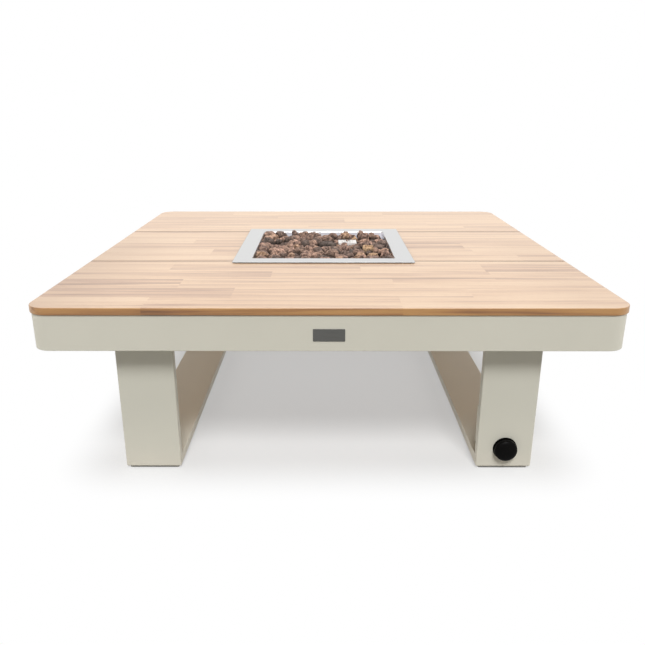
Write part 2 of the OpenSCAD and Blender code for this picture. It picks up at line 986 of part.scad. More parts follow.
module thermocouple() {
    color(copper_colour)
        translate([probe_x, probe_y, 0]) {
            translate([0, 0, bracket_top - pin_below])
                cylinder(d = probe_d, h = pin_below + probe_above);
            translate([0, 0, bracket_top])
                cylinder(d = probe_d + collar_rim, h = collar_h);
            translate([0, 0, bracket_top + probe_above])
                cylinder(d = probe_d - 2, h = collar_h);
        }
}

function lead_route(x0, y0, z_start, z_run, y_run, dx) = concat(
    [[x0, y0, z_start], [x0, y0, z_run]],
    y_run == y0 ? [] : [[x0, y_run, z_run]],
    [
        [lead_rise_x, y_run, z_run],
        [lead_rise_x, y_run, bearer_mid_z],
        [leg_x + dx, y_run, bearer_mid_z],
        [leg_x + dx, -leg_mid, bearer_mid_z],
        [leg_x + dx, -leg_mid, lead_turn_z],
        [leg_x + dx, valve_rear_y, lead_turn_z],
        [leg_x + dx, valve_rear_y, valve_top + boss_h]
    ]
);

module ignition_lead() {
    color(black_colour)
        route(lead_route(electrode_x, electrode_y, bracket_top - pin_below, lead_z, electrode_y, lead_step),
            lead_bend, lead_d);
}

module thermocouple_lead() {
    color(copper_colour)
        route(lead_route(probe_x, probe_y, bracket_top - pin_below, thermo_z, thermo_y, -lead_step),
            lead_bend - 2, thermo_d);
}

module igniter_guard() {
    cols = floor((guard_w - 8) / guard_pitch);
    rows = floor((guard_d - 8) / guard_pitch);
    color(steel_colour)
        difference() {
            translate([guard_x - guard_w / 2, guard_y - guard_d / 2, grate_top])
                cube([guard_w, guard_d, guard_h]);
            translate([guard_x - guard_w / 2 + guard_t, guard_y - guard_d / 2 + guard_t, grate_top - 1])
                cube([guard_w - 2 * guard_t, guard_d - 2 * guard_t, guard_h + 1 - guard_t]);
            for (c = [0 : cols - 1], r = [0 : rows - 1])
                translate([
                    guard_x + (c - (cols - 1) / 2) * guard_pitch,
                    guard_y + (r - (rows - 1) / 2) * guard_pitch,
                    grate_top + guard_h - guard_t - eps
                ])
                    cylinder(d = guard_hole_d, h = guard_t + 2 * eps, $fn = 24);
            for (c = [0 : cols - 1], z = [0.35, 0.7])
                translate([
                    guard_x + (c - (cols - 1) / 2) * guard_pitch,
                    guard_y - guard_d,
                    grate_top + z * guard_h
                ])
                    rotate([-90, 0, 0])
                        cylinder(d = guard_hole_d, h = 2 * guard_d, $fn = 24);
        }
}

// Lava rocks: one bed of lumps, each inside its own cell, flat underneath where it lies
function rock_seed(i, j) = 500 + 37 * i + 11 * j;
function rock_at(i, j) = let (stray = rands(-rock_stray, rock_stray, 2, rock_seed(i, j))) [
    tray_x + (i - (rock_count - 1) / 2 + (j % 2 == 0 ? rock_shift : -rock_shift)) * rock_pitch + stray[0],
    (j - (rock_count - 1) / 2) * rock_pitch + stray[1]
];
// The bed lies lower towards its right rear corner
function rock_height(i, j) = rock_h
    + rands(-rock_h_vary, rock_h_vary, 1, rock_seed(i, j) + 5)[0]
    - bed_fall * max(0, (i + j) / (rock_count - 1) - bed_fall_from);
function wall_reach(at, dir) = abs(dir) < 0.05 ? rock_pitch : (grate_half - sign(dir) * at) / abs(dir);
function guard_reach(c) = norm([
    max(abs(c[0] - guard_x) - guard_w / 2, 0),
    max(abs(c[1] - guard_y) - guard_d / 2, 0)
]);
// How far a rock may reach towards angle a: half way to each neighbour, to the walls, to the guard
function cell_reach(i, j, a) = let (c = rock_at(i, j), d = [cos(a), sin(a)]) min(concat(
    [for (di = [-1 : 1], dj = [-1 : 1])
        if (di != 0 || dj != 0)
            let (v = rock_at(i + di, j + dj) - c, t = v * d / norm(v))
                t > 0.1 ? norm(v) / 2 / t : rock_pitch],
    [wall_reach(c[0] - tray_x, d[0]), wall_reach(c[1], d[1]), guard_reach(c), rock_limit]
));
function rock_ring(i, j, k, h) = let (
    seed = rock_seed(i, j) + 7 * k,
    spread = rands(1 - rock_vary, 1, rock_sides, seed),
    drop = rands(0, k == 3 ? rock_top_sag : rock_sag, rock_sides, seed + 2),
    turn = rands(0, 360, 1, rock_seed(i, j))[0]
) [
    for (s = [0 : rock_sides - 1])
        let (
            a = turn + 360 / rock_sides * (s + k / 2),
            r = (cell_reach(i, j, a) - rock_gap / 2) * rock_rings[k][1] * spread[s]
        )
            [r * cos(a), r * sin(a), k == 0 ? 0 : h * (rock_rings[k][0] - drop[s])]
];

module rock(i, j) {
    n = rock_sides;
    h = rock_height(i, j);
    low = 4 * n;
    high = low + 1;
    points = concat(
        [for (k = [0 : 3]) each rock_ring(i, j, k, h)],
        [[0, 0, 0], [0, 0, h]]
    );
    polyhedron(points, concat(
        [for (s = [0 : n - 1]) [low, s, (s + 1) % n]],
        [for (k = [0 : 2], s = [0 : n - 1]) [k * n + s, (k + 1) * n + s, k * n + (s + 1) % n]],
        [for (k = [0 : 2], s = [0 : n - 1])
            [k * n + (s + 1) % n, (k + 1) * n + s, (k + 1) * n + (s + 1) % n]],
        [for (s = [0 : n - 1]) [3 * n + s, high, 3 * n + (s + 1) % n]]
    ));
}

module lava_rocks() {
    color(rock_colour)
        for (i = [0 : rock_count - 1], j = [0 : rock_count - 1])
            if (guard_reach(rock_at(i, j)) > rock_least)
                translate([rock_at(i, j)[0], rock_at(i, j)[1], grate_top])
                    rock(i, j);
}

// Gas valve in the right front upright
module valve_body() {
    color(zinc_colour)
        difference() {
            union() {
                span([leg_x - valve_w / 2, -valve_front, valve_low],
                    [leg_x + valve_w / 2, -valve_back, valve_top]);
                span([leg_x - valve_flange_w / 2, -valve_front, knob_z - valve_flange_h / 2],
                    [leg_x + valve_flange_w / 2, -valve_front + valve_flange_t, knob_z + valve_flange_h / 2]);
                translate([leg_x, -valve_front, knob_z])
                    rotate([90, 0, 0])
                        cylinder(d = valve_nose_d, h = leg_wall);
                for (s = [-1, 1])
                    translate([leg_x + s * lead_step, valve_rear_y, valve_top])
                        cylinder(d = boss_d, h = boss_h);
            }
            translate([leg_x, -spindle_root, knob_z])
                rotate([90, 0, 0])
                    cylinder(d = spindle_d + 2 * run_gap, h = valve_depth / 2);
            for (s = [-1, 1])
                translate([leg_x + s * valve_screw_dx, -valve_front + valve_screw_in + 1, knob_z])
                    rotate([90, 0, 0])
                        cylinder(d = valve_screw_d + 2 * fit_gap, h = 2 * valve_screw_in);
            translate([leg_x + valve_w / 2 - nipple_in, valve_rear_y, knob_z])
                rotate([0, 90, 0])
                    cylinder(d = nipple_shank_d + 2 * fit_gap, h = 2 * nipple_in);
            translate([leg_x, -leg_mid, valve_top - nipple_in])
                cylinder(d = pipe_d - 2 * pipe_wall, h = 2 * nipple_in);
        }
}

module valve_screws() {
    color(zinc_colour)
        for (s = [-1, 1])
            translate([leg_x + s * valve_screw_dx, -leg_front - bezel_t, knob_z])
                rotate([-90, 0, 0]) {
                    translate([0, 0, -valve_screw_head_h])
                        cylinder(d = valve_screw_head_d, h = valve_screw_head_h);
                    cylinder(d = valve_screw_d, h = bezel_t + leg_wall + valve_screw_in);
                }
}

module inlet_nipple() {
    x0 = leg_x + valve_w / 2 - nipple_in;
    x1 = leg_x + cover_w / 2;
    color(brass_colour)
        translate([0, valve_rear_y, knob_z])
            rotate([0, 90, 0]) {
                translate([0, 0, x0])
                    cylinder(d = nipple_shank_d, h = x1 - x0);
                translate([0, 0, x1])
                    hex_bar(nipple_hex, nipple_hex_t);
                translate([0, 0, x1 + nipple_hex_t])
                    cylinder(d = nipple_d, h = nipple_len);
            }
}

function cover_screw_spots() = [
    for (s = [-1, 1]) [leg_x + s * cover_screw_dx, cover_top + cover_tab / 2]
];

module valve_cover() {
    color(paint_colour)
        difference() {
            union() {
                span([leg_x - cover_w / 2, -leg_back, cover_floor],
                    [leg_x + cover_w / 2, -leg_back + cover_depth, cover_top]);
                span([leg_x - cover_w / 2, -leg_back, cover_top - 1],
                    [leg_x + cover_w / 2, -leg_back + cover_t, cover_top + cover_tab]);
            }
            span([leg_x - cover_w / 2 + cover_t, -leg_back - 1, cover_floor - 1],
                [leg_x + cover_w / 2 - cover_t, -leg_back + cover_depth - cover_t, cover_top - cover_t]);
            translate([leg_x, valve_rear_y, knob_z])
                rotate([0, 90, 0])
                    cylinder(d = nipple_shank_d + 1, h = cover_w);
            for (p = cover_screw_spots())
                translate([p[0], -leg_back - 1, p[1]])
                    rotate([-90, 0, 0])
                        cylinder(d = cover_screw_d + 0.6, h = cover_t + 2);
        }
}

module cover_screws() {
    color(zinc_colour)
        for (p = cover_screw_spots())
            translate([p[0], -leg_back + cover_t, p[1]])
                rotate([90, 0, 0]) {
                    translate([0, 0, -cover_screw_h])
                        cylinder(d = cover_screw_d * 1.9, h = cover_screw_h);
                    cylinder(d = cover_screw_d, h = cover_t + leg_wall + 4);
                }
}

module knob_bezel() {
    color(black_colour)
        translate([leg_x, -leg_front, knob_z])
            rotate([90, 0, 0])
                difference() {
                    cylinder(d = bezel_d, h = bezel_t);
                    translate([0, 0, -eps])
                        cylinder(d = spindle_d + 4, h = bezel_t + 2 * eps);
                    for (s = [-1, 1])
                        translate([s * valve_screw_dx, 0, -eps])
                            cylinder(d = valve_screw_d + 1, h = bezel_t + 2 * eps);
                }
}

module valve_spindle() {
    flat_len = spindle_tip - leg_front - bezel_t;
    color(zinc_colour)
        translate([leg_x, -spindle_root, knob_z])
            rotate([90, 0, 0])
                difference() {
                    cylinder(d = spindle_d, h = spindle_tip - spindle_root);
                    translate([-spindle_d, spindle_flat, spindle_tip - spindle_root - flat_len])
                        cube([2 * spindle_d, spindle_d, flat_len + 1]);
                }
}

// Knob: a dome with a hollow back and a bore with a flat; its dot points up, which is off
module control_knob() {
    r = knob_d / 2;
    len_k = knob_reach - knob_rest;
    dome_r = (r * r + knob_dome * knob_dome) / (2 * knob_dome);
    bore = spindle_tip - leg_front - knob_rest + push_travel + knob_end_gap;
    color(black_colour)
        translate([leg_x, -leg_front - knob_rest, knob_z])
            rotate([90, 0, 0])
                difference() {
                    intersection() {
                        cylinder(r = r, h = len_k, $fn = 96);
                        translate([0, 0, len_k - dome_r])
                            sphere(r = dome_r, $fn = 96);
                    }
                    difference() {
                        translate([0, 0, -eps])
                            cylinder(r = r - knob_skirt, h = knob_hollow + eps);
                        translate([0, 0, -1])
                            cylinder(d = knob_hub_d, h = knob_hollow + 2);
                    }
                    difference() {
                        translate([0, 0, -eps])
                            cylinder(d = spindle_d + 2 * run_gap, h = bore + eps);
                        translate([-spindle_d, spindle_flat + run_gap, -1])
                            cube([2 * spindle_d, spindle_d, bore + 2]);
                    }
                    translate([0, knob_dot_y, len_k - dome_r + sqrt(dome_r * dome_r - knob_dot_y * knob_dot_y) - 1])
                        cylinder(d = knob_dot_d, h = len_k);
                }
}

top_plank_front();
top_plank_rear();
top_panel_left();
top_panel_right();
apron_frame();
bearer_left();
bearer_right();
trimmer_front();
trimmer_rear();
trimmer_left();
trimmer_right();
leg_left_front();
leg_left_runner();
leg_left_rear();
leg_right_front();
leg_right_runner();
leg_right_rear();
leg_top_plates();
leg_bolts();
leg_rivet_nuts();
foot_glides();
plank_screws();
name_plate();
tray_gasket();
burner_tray();
grate_ledges();
rock_grate();
burner_tube();
burner_saddles();
burner_locknut();
injector_elbow();
gas_pipe();
pipe_nut();
pipe_grommet();
pilot_bracket();
igniter_electrode();
thermocouple();
ignition_lead();
thermocouple_lead();
igniter_guard();
lava_rocks();
valve_body();
valve_screws();
inlet_nipple();
valve_cover();
cover_screws();
knob_bezel();
valve_spindle();
control_knob();
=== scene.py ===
import json
import math
import random

import bmesh
import bpy
from mathutils import Euler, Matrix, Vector, noise
from mathutils.bvhtree import BVHTree


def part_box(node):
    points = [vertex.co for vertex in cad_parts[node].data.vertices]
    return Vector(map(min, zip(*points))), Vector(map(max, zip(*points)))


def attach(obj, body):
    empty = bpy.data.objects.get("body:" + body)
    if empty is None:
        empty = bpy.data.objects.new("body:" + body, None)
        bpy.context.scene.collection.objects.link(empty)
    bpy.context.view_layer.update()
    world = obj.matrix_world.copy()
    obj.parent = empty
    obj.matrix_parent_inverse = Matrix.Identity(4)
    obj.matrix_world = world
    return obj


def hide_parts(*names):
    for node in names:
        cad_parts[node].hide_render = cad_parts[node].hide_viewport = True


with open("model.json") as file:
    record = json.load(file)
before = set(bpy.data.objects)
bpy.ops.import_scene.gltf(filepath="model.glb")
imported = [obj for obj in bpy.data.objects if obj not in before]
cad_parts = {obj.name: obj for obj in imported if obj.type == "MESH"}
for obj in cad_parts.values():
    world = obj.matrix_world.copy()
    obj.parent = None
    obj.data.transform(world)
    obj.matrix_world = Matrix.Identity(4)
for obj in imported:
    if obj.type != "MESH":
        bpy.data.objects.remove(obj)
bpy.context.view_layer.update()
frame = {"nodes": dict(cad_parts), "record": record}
nodes = frame["nodes"]

MM = 0.001
LEAST_R = 0.4 * MM
SAME_POINT = 1e-6
SHARP_ANGLE = math.radians(38)
FLAT_WEIGHT = 60

# Camera, where it stands in front of the table
EYE = (-0.0105, -1.8137, 0.7626)
EYE_TILT = math.radians(71.46)
EYE_TURN = math.radians(0.115)
EYE_LENS = 36.46

# Boards: eased edges, and staves counted from the long outer edge
BOARD_CORNER = 42 * MM
BOARD_SEAM_CORNER = 1.2 * MM
BOARD_EASE = 2.2 * MM
BOARD_LOW_EASE = 2.4 * MM
STAVE_FIRST = 75 * MM
STAVE_W = 72.7 * MM
STAVE_SHORT = 0.30
STAVE_LONG = 0.58
FIRST_STAVE_LEAST = 0.12
LAST_STAVE_LEAST = 0.08
TONE_DRAW = (2.0, 2.6)
FRONT_JOINTS = [
    (-0.368, 0.144),
    (-0.202, 0.298),
    (-0.328, 0.144),
    (-0.132, 0.378),
    (-0.380, 0.078, 0.374),
    (-0.090, 0.410),
]
REAR_JOINTS = [
    (-0.335, -0.110, 0.200),
    (-0.170, 0.200),
    (-0.420, 0.060),
    (-0.250, 0.330),
    (-0.060, 0.440),
    (-0.300, 0.180),
]
# Staves of the front board by row and place in the row: tone from 0, pale, to 1, dark
FRONT_TONES = {
    (0, 0): 0.16, (0, 1): 0.60, (0, 2): 0.10,
    (1, 0): 0.66, (1, 1): 0.24, (1, 2): 0.20,
    (2, 0): 0.68, (2, 1): 0.58, (2, 2): 0.50,
    (3, 0): 0.38, (3, 1): 0.28, (3, 2): 0.28,
    (4, 0): 0.40, (4, 1): 0.52, (4, 2): 0.38, (4, 3): 0.74,
}

# The ends of the front board are darker: how much, between which X, and fading out between which Y
DARK_END_LEFT = 0.28
DARK_END_LEFT_X = (-0.62, -0.36)
DARK_END_RIGHT = 0.12
DARK_END_RIGHT_X = (0.38, 0.56)
DARK_END_FADE_Y = (-0.1, 0.25)
# Painted sheen: the top is paler towards the rear, and by a slant towards the right
REAR_SHEEN = 0.35
REAR_SHEEN_FADE = (0.0, 0.36)
REAR_SHEEN_SLANT = 0.35
# Painted shade along the seams between the boards: full up to the first distance, gone at the second
SEAM_SHADE_FADE = (2.0 * MM, 4.2 * MM)

# A dark heart figure where two staves of the front board meet
HEART_SPOT = (-0.330, -0.600, 0.380)
HEART_SPREAD = (0.115, 0.042, 0.042)

# Bent steel and tube
APRON_BEND = 1.3 * MM
APRON_WALL = 3 * MM
APRON_FLANGE_TOP = 30 * MM
APRON_FLANGE_LOW = 18 * MM
APRON_CORNER = 39 * MM
LEG_EDGE = 2.8 * MM
# Leg coat: painted shade higher up and dust with painted floor bounce near the floor, the heights these fade
# over; how flat a face holds dust and painted bounce light, and where that thins out along Y
LEG_SHADE_Z = (0.03, 0.17)
LEG_DUST_AND_BOUNCE_Z = (0, 0.07)
FLAT_DUST_AND_BOUNCE = (0.6, 0.95)
DUST_AND_BOUNCE_THIN_Y = (0.30, 0.47)

# Name plate: its corners, and its eased edge as a share of its thickness
PLATE_CORNER = 1.5 * MM
PLATE_EASE = 0.4

# Burner tray
TRAY_SHEET = 1.5 * MM
TRAY_RIM = 46 * MM
TRAY_MOUTH_BEND = 2.4 * MM
TRAY_FLOOR_BEND = 4 * MM
TRAY_RIM_CORNER = 3 * MM
TRAY_PAN_CORNER = 6 * MM
RIM_SKIN = 1 * MM
# Painted dark reflection on the rim's outer edge: where it starts and where it is full, as insets from the
# rim's edge
RIM_DARK_REFLECTION = (0.9 * MM, 0.3 * MM)
# Painted sky reflection on the rear wall: between which Y, and how far below the rim it runs
SKY_REFLECTION_Y = (0.150, 0.176)
SKY_REFLECTION_DOWN = (0.5 * MM, 4 * MM)

# Knob
KNOB_EASE = 0.5 * MM
KNOB_EDGE = 4 * MM
KNOB_ROUND = 0.88
KNOB_SKIRT = 3 * MM
KNOB_HOLLOW = 4 * MM
KNOB_HUB = 7.5 * MM
KNOB_BORE = 3.2 * MM
KNOB_BORE_DEEP = 10.1 * MM
KNOB_RINGS = 40
KNOB_LAST_RING = 88.6
KNOB_SPOKES = 120
KNOB_DIMPLE_UP = 16 * MM
KNOB_DIMPLE_R = 1.8 * MM
KNOB_DIMPLE_DEEP = 0.9 * MM

# Lava rock
ROCK_DETAIL = 4
ROCK_SHARP_ANGLE = math.radians(32)
ROCK_TILT = 0.6
ROCK_BREAKS = 10
BREAK_DEPTHS = (0.62, 0.94)
ROCK_SPREAD = (0.92, 1.30)
ROCK_HIGHEST = 0.3965
ROCK_TOPS = (0.379, 0.3935)
WALL_ROCK_TOPS = (0.3885, 0.3935)
REAR_ROCK_TOPS = (0.3900, 0.3940)
HOLLOW_TOP = 0.377
WEATHERED_FULLY = 16 * MM
ROCK_CLEAR = 0.3 * MM
# Broken bubbles of a rock: sizes and depths in millimetres, and what they add to its ridges
BOWL_SIZE = 13
BOWL_DEEP = 5.2
POCK_SIZE = 6.5
POCK_DEEP = 2.4
LUMP_SIZE = 20
LUMP_HIGH = 2.6
RIDGE_MEAN = 0.45
RIDGE_BOWL = 1.1
RIDGE_POCK = 0.7
# Looks of the rocks: a draw below the first share is grey, below the second warm, else brown
GREY_BELOW = 0.24
WARM_BELOW = 0.31
GREY_TONES = (0.45, 0.9)
WARM_TONE = 0.1
WARM_WARMTHS = (0.2, 0.45)
BROWN_TONES = (0, 0.35)
BROWN_WARMTHS = (0, 0.12)
# Rocks beside the tray's walls, and in its front and rear rows
NEAR_WALL = 0.036
WALL_ROCK_WIDER = 1.15
WALL_OVERLAP = 2 * MM
RIGHT_WALL_END_Y = 0.10
END_ROW_Y = 0.14
END_ROW_SHIFT = 4 * MM
REAR_ROW_END_X = -0.02
# Small rocks in the hollows: sizes in millimetres, the rest as shares of the size
CRUMB_DETAIL = 3
CRUMB_PITCH = 11 * MM
CRUMB_SIZES = (8, 13)
CRUMB_SPREAD = (0.9, 1.3)
CRUMB_RISE = (1.7, 2.1)
CRUMB_SUNK = 0.4
CRUMB_APART = 0.72
RAY_ABOVE = 0.1
# Soot greys the rocks over the middle of the burner; painted shade darkens the lower parts of each rock
FIRE_R = 0.12
FIRE_GREY = 0.6
LOW_SHADE_START = 4.5 * MM
LOW_SHADE_DEPTH = 11.5 * MM
# Rocks that stand out: X, Y, half width, half depth, top, tone from brown, 0, to grey, 1, and warmth
SPOT_ROCKS = [
    (0.110, -0.052, 0.015, 0.016, 0.3945, 0.0, 0.95),
    (0.118, -0.124, 0.014, 0.014, 0.3905, 0.0, 0.70),
    (0.087, -0.128, 0.019, 0.015, 0.3890, 0.0, 0.45),
    (0.053, 0.124, 0.013, 0.014, 0.3965, 0.1, 0.55),
    (0.079, 0.104, 0.010, 0.011, 0.3880, 0.0, 0.85),
    (0.031, -0.160, 0.012, 0.012, 0.3880, 0.0, 0.35),
    (0.018, 0.128, 0.015, 0.015, 0.3960, 0.45, 0.0),
    (0.108, 0.128, 0.014, 0.014, 0.3950, 0.35, 0.0),
    (0.137, 0.128, 0.014, 0.014, 0.3950, 0.30, 0.1),
    (-0.096, 0.150, 0.013, 0.014, 0.3985, 0.60, 0.0),
    (-0.130, -0.158, 0.021, 0.018, 0.3915, 0.75, 0.0),
    (-0.173, -0.166, 0.016, 0.017, 0.3915, 0.45, 0.0),
    (0.002, 0.020, 0.024, 0.019, 0.3925, 0.95, 0.0),
    (-0.030, 0.062, 0.019, 0.017, 0.3925, 0.70, 0.0),
    (-0.005, -0.146, 0.028, 0.018, 0.3880, 0.85, 0.0),
    (0.145, -0.020, 0.016, 0.018, 0.3900, 0.75, 0.0),
    (-0.025, -0.050, 0.020, 0.019, 0.3890, 0.75, 0.0),
    (0.020, -0.064, 0.021, 0.019, 0.3880, 0.85, 0.0),
    (0.054, -0.088, 0.018, 0.018, 0.3860, 0.65, 0.0),
]
# Rocks this far ahead of the igniter guard and beside it stay low, rising with their distance
GUARD_AHEAD = (-0.005, 0.075)
GUARD_BESIDE = 0.008
GUARD_SHOWN = 0.008
GUARD_SLOPE = 0.21
# Small rocks against the front of the igniter guard: X, and how high they reach
GUARD_CRUMBS = [(0.033, 0.3800), (0.050, 0.3845), (0.064, 0.3775), (0.076, 0.3790), (0.086, 0.3815)]
GUARD_CRUMB_SIZES = (8, 10)
GUARD_CRUMB_SPREAD = (0.9, 1.2)
GUARD_CRUMB_OFF = 1.1
# Bits of rock that lie on the guard: X, Y and size
GUARD_BITS = [(0.057, 0.070, 0.0030), (0.063, 0.078, 0.0034)]
GUARD_BIT_HALF = (1, 1.2, 0.8)
GUARD_BIT_LIFT = 0.7

# Studio: the floor is white past the table's footprint, and keeps the shadow under it
FLOOR_SIDE = 16
FLOOR_CELLS = 8
FLOOR_COLOUR = 0.60
FLOOR_BOUNCE = (0.57, 0.545, 0.50)
FLOOR_GLOW = 0.42
SHADE_HALF = (0.44, 0.50, 0)
SHADE_FADE = 0.18
# Sky light: dim in front and above, brighter low down behind and at the sides
SKY_LIGHT = 0.14
REAR_LIGHT = 0.75
SIDE_LIGHT = 3.0
SKY_TINT = (1.0, 0.955, 0.90)
KEY_HEIGHT = math.radians(52.5)
KEY_TURN = math.radians(5)
KEY_ANGLE = math.radians(20)
KEY_STRENGTH = 2.85


def make_camera():
    data = bpy.data.cameras.new("camera")
    data.lens = EYE_LENS
    camera = bpy.data.objects.new("camera", data)
    camera.location = EYE
    camera.rotation_euler = (EYE_TILT, 0, EYE_TURN)
    bpy.context.scene.collection.objects.link(camera)
    bpy.context.scene.camera = camera


class Val:
    """A socket of a finish. Plain maths on it adds Math nodes."""

    def __init__(self, finish, socket):
        self.finish = finish
        self.socket = socket

    def maths(self, operation, *values):
        return self.finish.node("ShaderNodeMath", {"operation": operation}, values)

    def __add__(self, other):
        return self.maths("ADD", self, other)

    def __radd__(self, other):
        return self.maths("ADD", other, self)

    def __sub__(self, other):
        return self.maths("SUBTRACT", self, other)

    def __rsub__(self, other):
        return self.maths("SUBTRACT", other, self)

    def __mul__(self, other):
        return self.maths("MULTIPLY", self, other)

    def __rmul__(self, other):
        return self.maths("MULTIPLY", other, self)

    def __abs__(self):
        return self.maths("ABSOLUTE", self)

    def larger(self, other):
        return self.maths("MAXIMUM", self, other)


class Nodes:
    """The nodes of one tree. Each of them comes from node()."""

    def __init__(self, tree):
        self.tree = tree

    def node(self, kind, settings=None, inputs=(), out=0):
        made = self.tree.nodes.new(kind)
        for name, value in (settings or {}).items():
            if name == "stops":
                set_stops(made.color_ramp, value)
            else:
                setattr(made, name, value)
        pairs = inputs.items() if isinstance(inputs, dict) else enumerate(inputs)
        for name, value in pairs:
            self.feed(made.inputs[name], value)
        return Val(self, made.outputs[out])

    def feed(self, socket, value):
        if isinstance(value, Val):
            self.tree.links.new(value.socket, socket)
        elif socket.type == "RGBA" and len(value) == 3:
            socket.default_value = (*value, 1)
        else:
            socket.default_value = value

    def seen(self):
        """1 for what the eye, a mirror or glass sees, 0 for light on its way."""
        path = self.node("ShaderNodeLightPath").socket.node
        eye, mirror, glass = [
            Val(self, path.outputs[f"Is {kind} Ray"]) for kind in ("Camera", "Glossy", "Transmission")
        ]
        return eye.larger(mirror.larger(glass))

    def split(self, vector):
        made = self.node("ShaderNodeSeparateXYZ", inputs=[vector])
        return [Val(self, socket) for socket in made.socket.node.outputs]

    def vector(self, operation, *values, out=0):
        return self.node("ShaderNodeVectorMath", {"operation": operation}, values, out)

    def noise(self, at, scale, detail=2, rough=0.5, twist=0):
        return self.node(
            "ShaderNodeTexNoise",
            inputs={"Vector": at, "Scale": scale, "Detail": detail, "Roughness": rough, "Distortion": twist},
        )

    def grain(self, at, stretch, detail=2, rough=0.5, twist=0):
        """Noise drawn out along the axes: stretch gives its features per metre."""
        return self.noise(self.vector("MULTIPLY", at, stretch), 1, detail, rough, twist)

    def cells(self, at, scale, out=0):
        return self.node("ShaderNodeTexVoronoi", inputs={"Vector": at, "Scale": scale}, out=out)

    def step(self, value, low, high):
        """From 0 at low to 1 at high, with soft ends."""
        return self.node("ShaderNodeMapRange", {"interpolation_type": "SMOOTHSTEP"}, [value, low, high])

    def mix(self, share, first, second):
        """A colour between two others. The sockets from 6 on are those for colours."""
        return self.node("ShaderNodeMix", {"data_type": "RGBA"}, {0: share, 6: first, 7: second}, out=2)

    def ramp(self, value, stops):
        return self.node("ShaderNodeValToRGB", {"stops": stops}, [value])

    def bump(self, height, strength, depth, normal=None):
        inputs = {"Height": height, "Strength": strength, "Distance": depth}
        if normal:
            inputs["Normal"] = normal
        return self.node("ShaderNodeBump", inputs=inputs)

    def edges(self, radius):
        """A normal that is rounded off at edges, and a mask that shows them."""
        rounded = self.node("ShaderNodeBevel", {"samples": 6}, {"Radius": radius})
        facing = self.node("ShaderNodeNewGeometry", out="Normal")
        agree = self.vector("DOT_PRODUCT", rounded, facing, out="Value")
        return rounded, self.step(1 - agree, 0.01, 0.25)


class Finish(Nodes):
    """One material."""

    def __init__(self, name):
        self.material = bpy.data.materials.new(name)
        self.material.use_nodes = True
        super().__init__(self.material.node_tree)
        self.shader = self.tree.nodes["Principled BSDF"]
        self.place = self.node("ShaderNodeTexCoord", out="Object")

    def set(self, **sockets):
        """Feeds the shader: names with _ for a space."""
        for name, value in sockets.items():
            self.feed(self.shader.inputs[name.replace("_", " ")], value)


def set_stops(ramp, stops):
    while len(ramp.elements) < len(stops):
        ramp.elements.new(1)
    for element, (place, colour) in zip(ramp.elements, stops):
        element.position = place
        element.color = (*colour, 1)


# Finishes


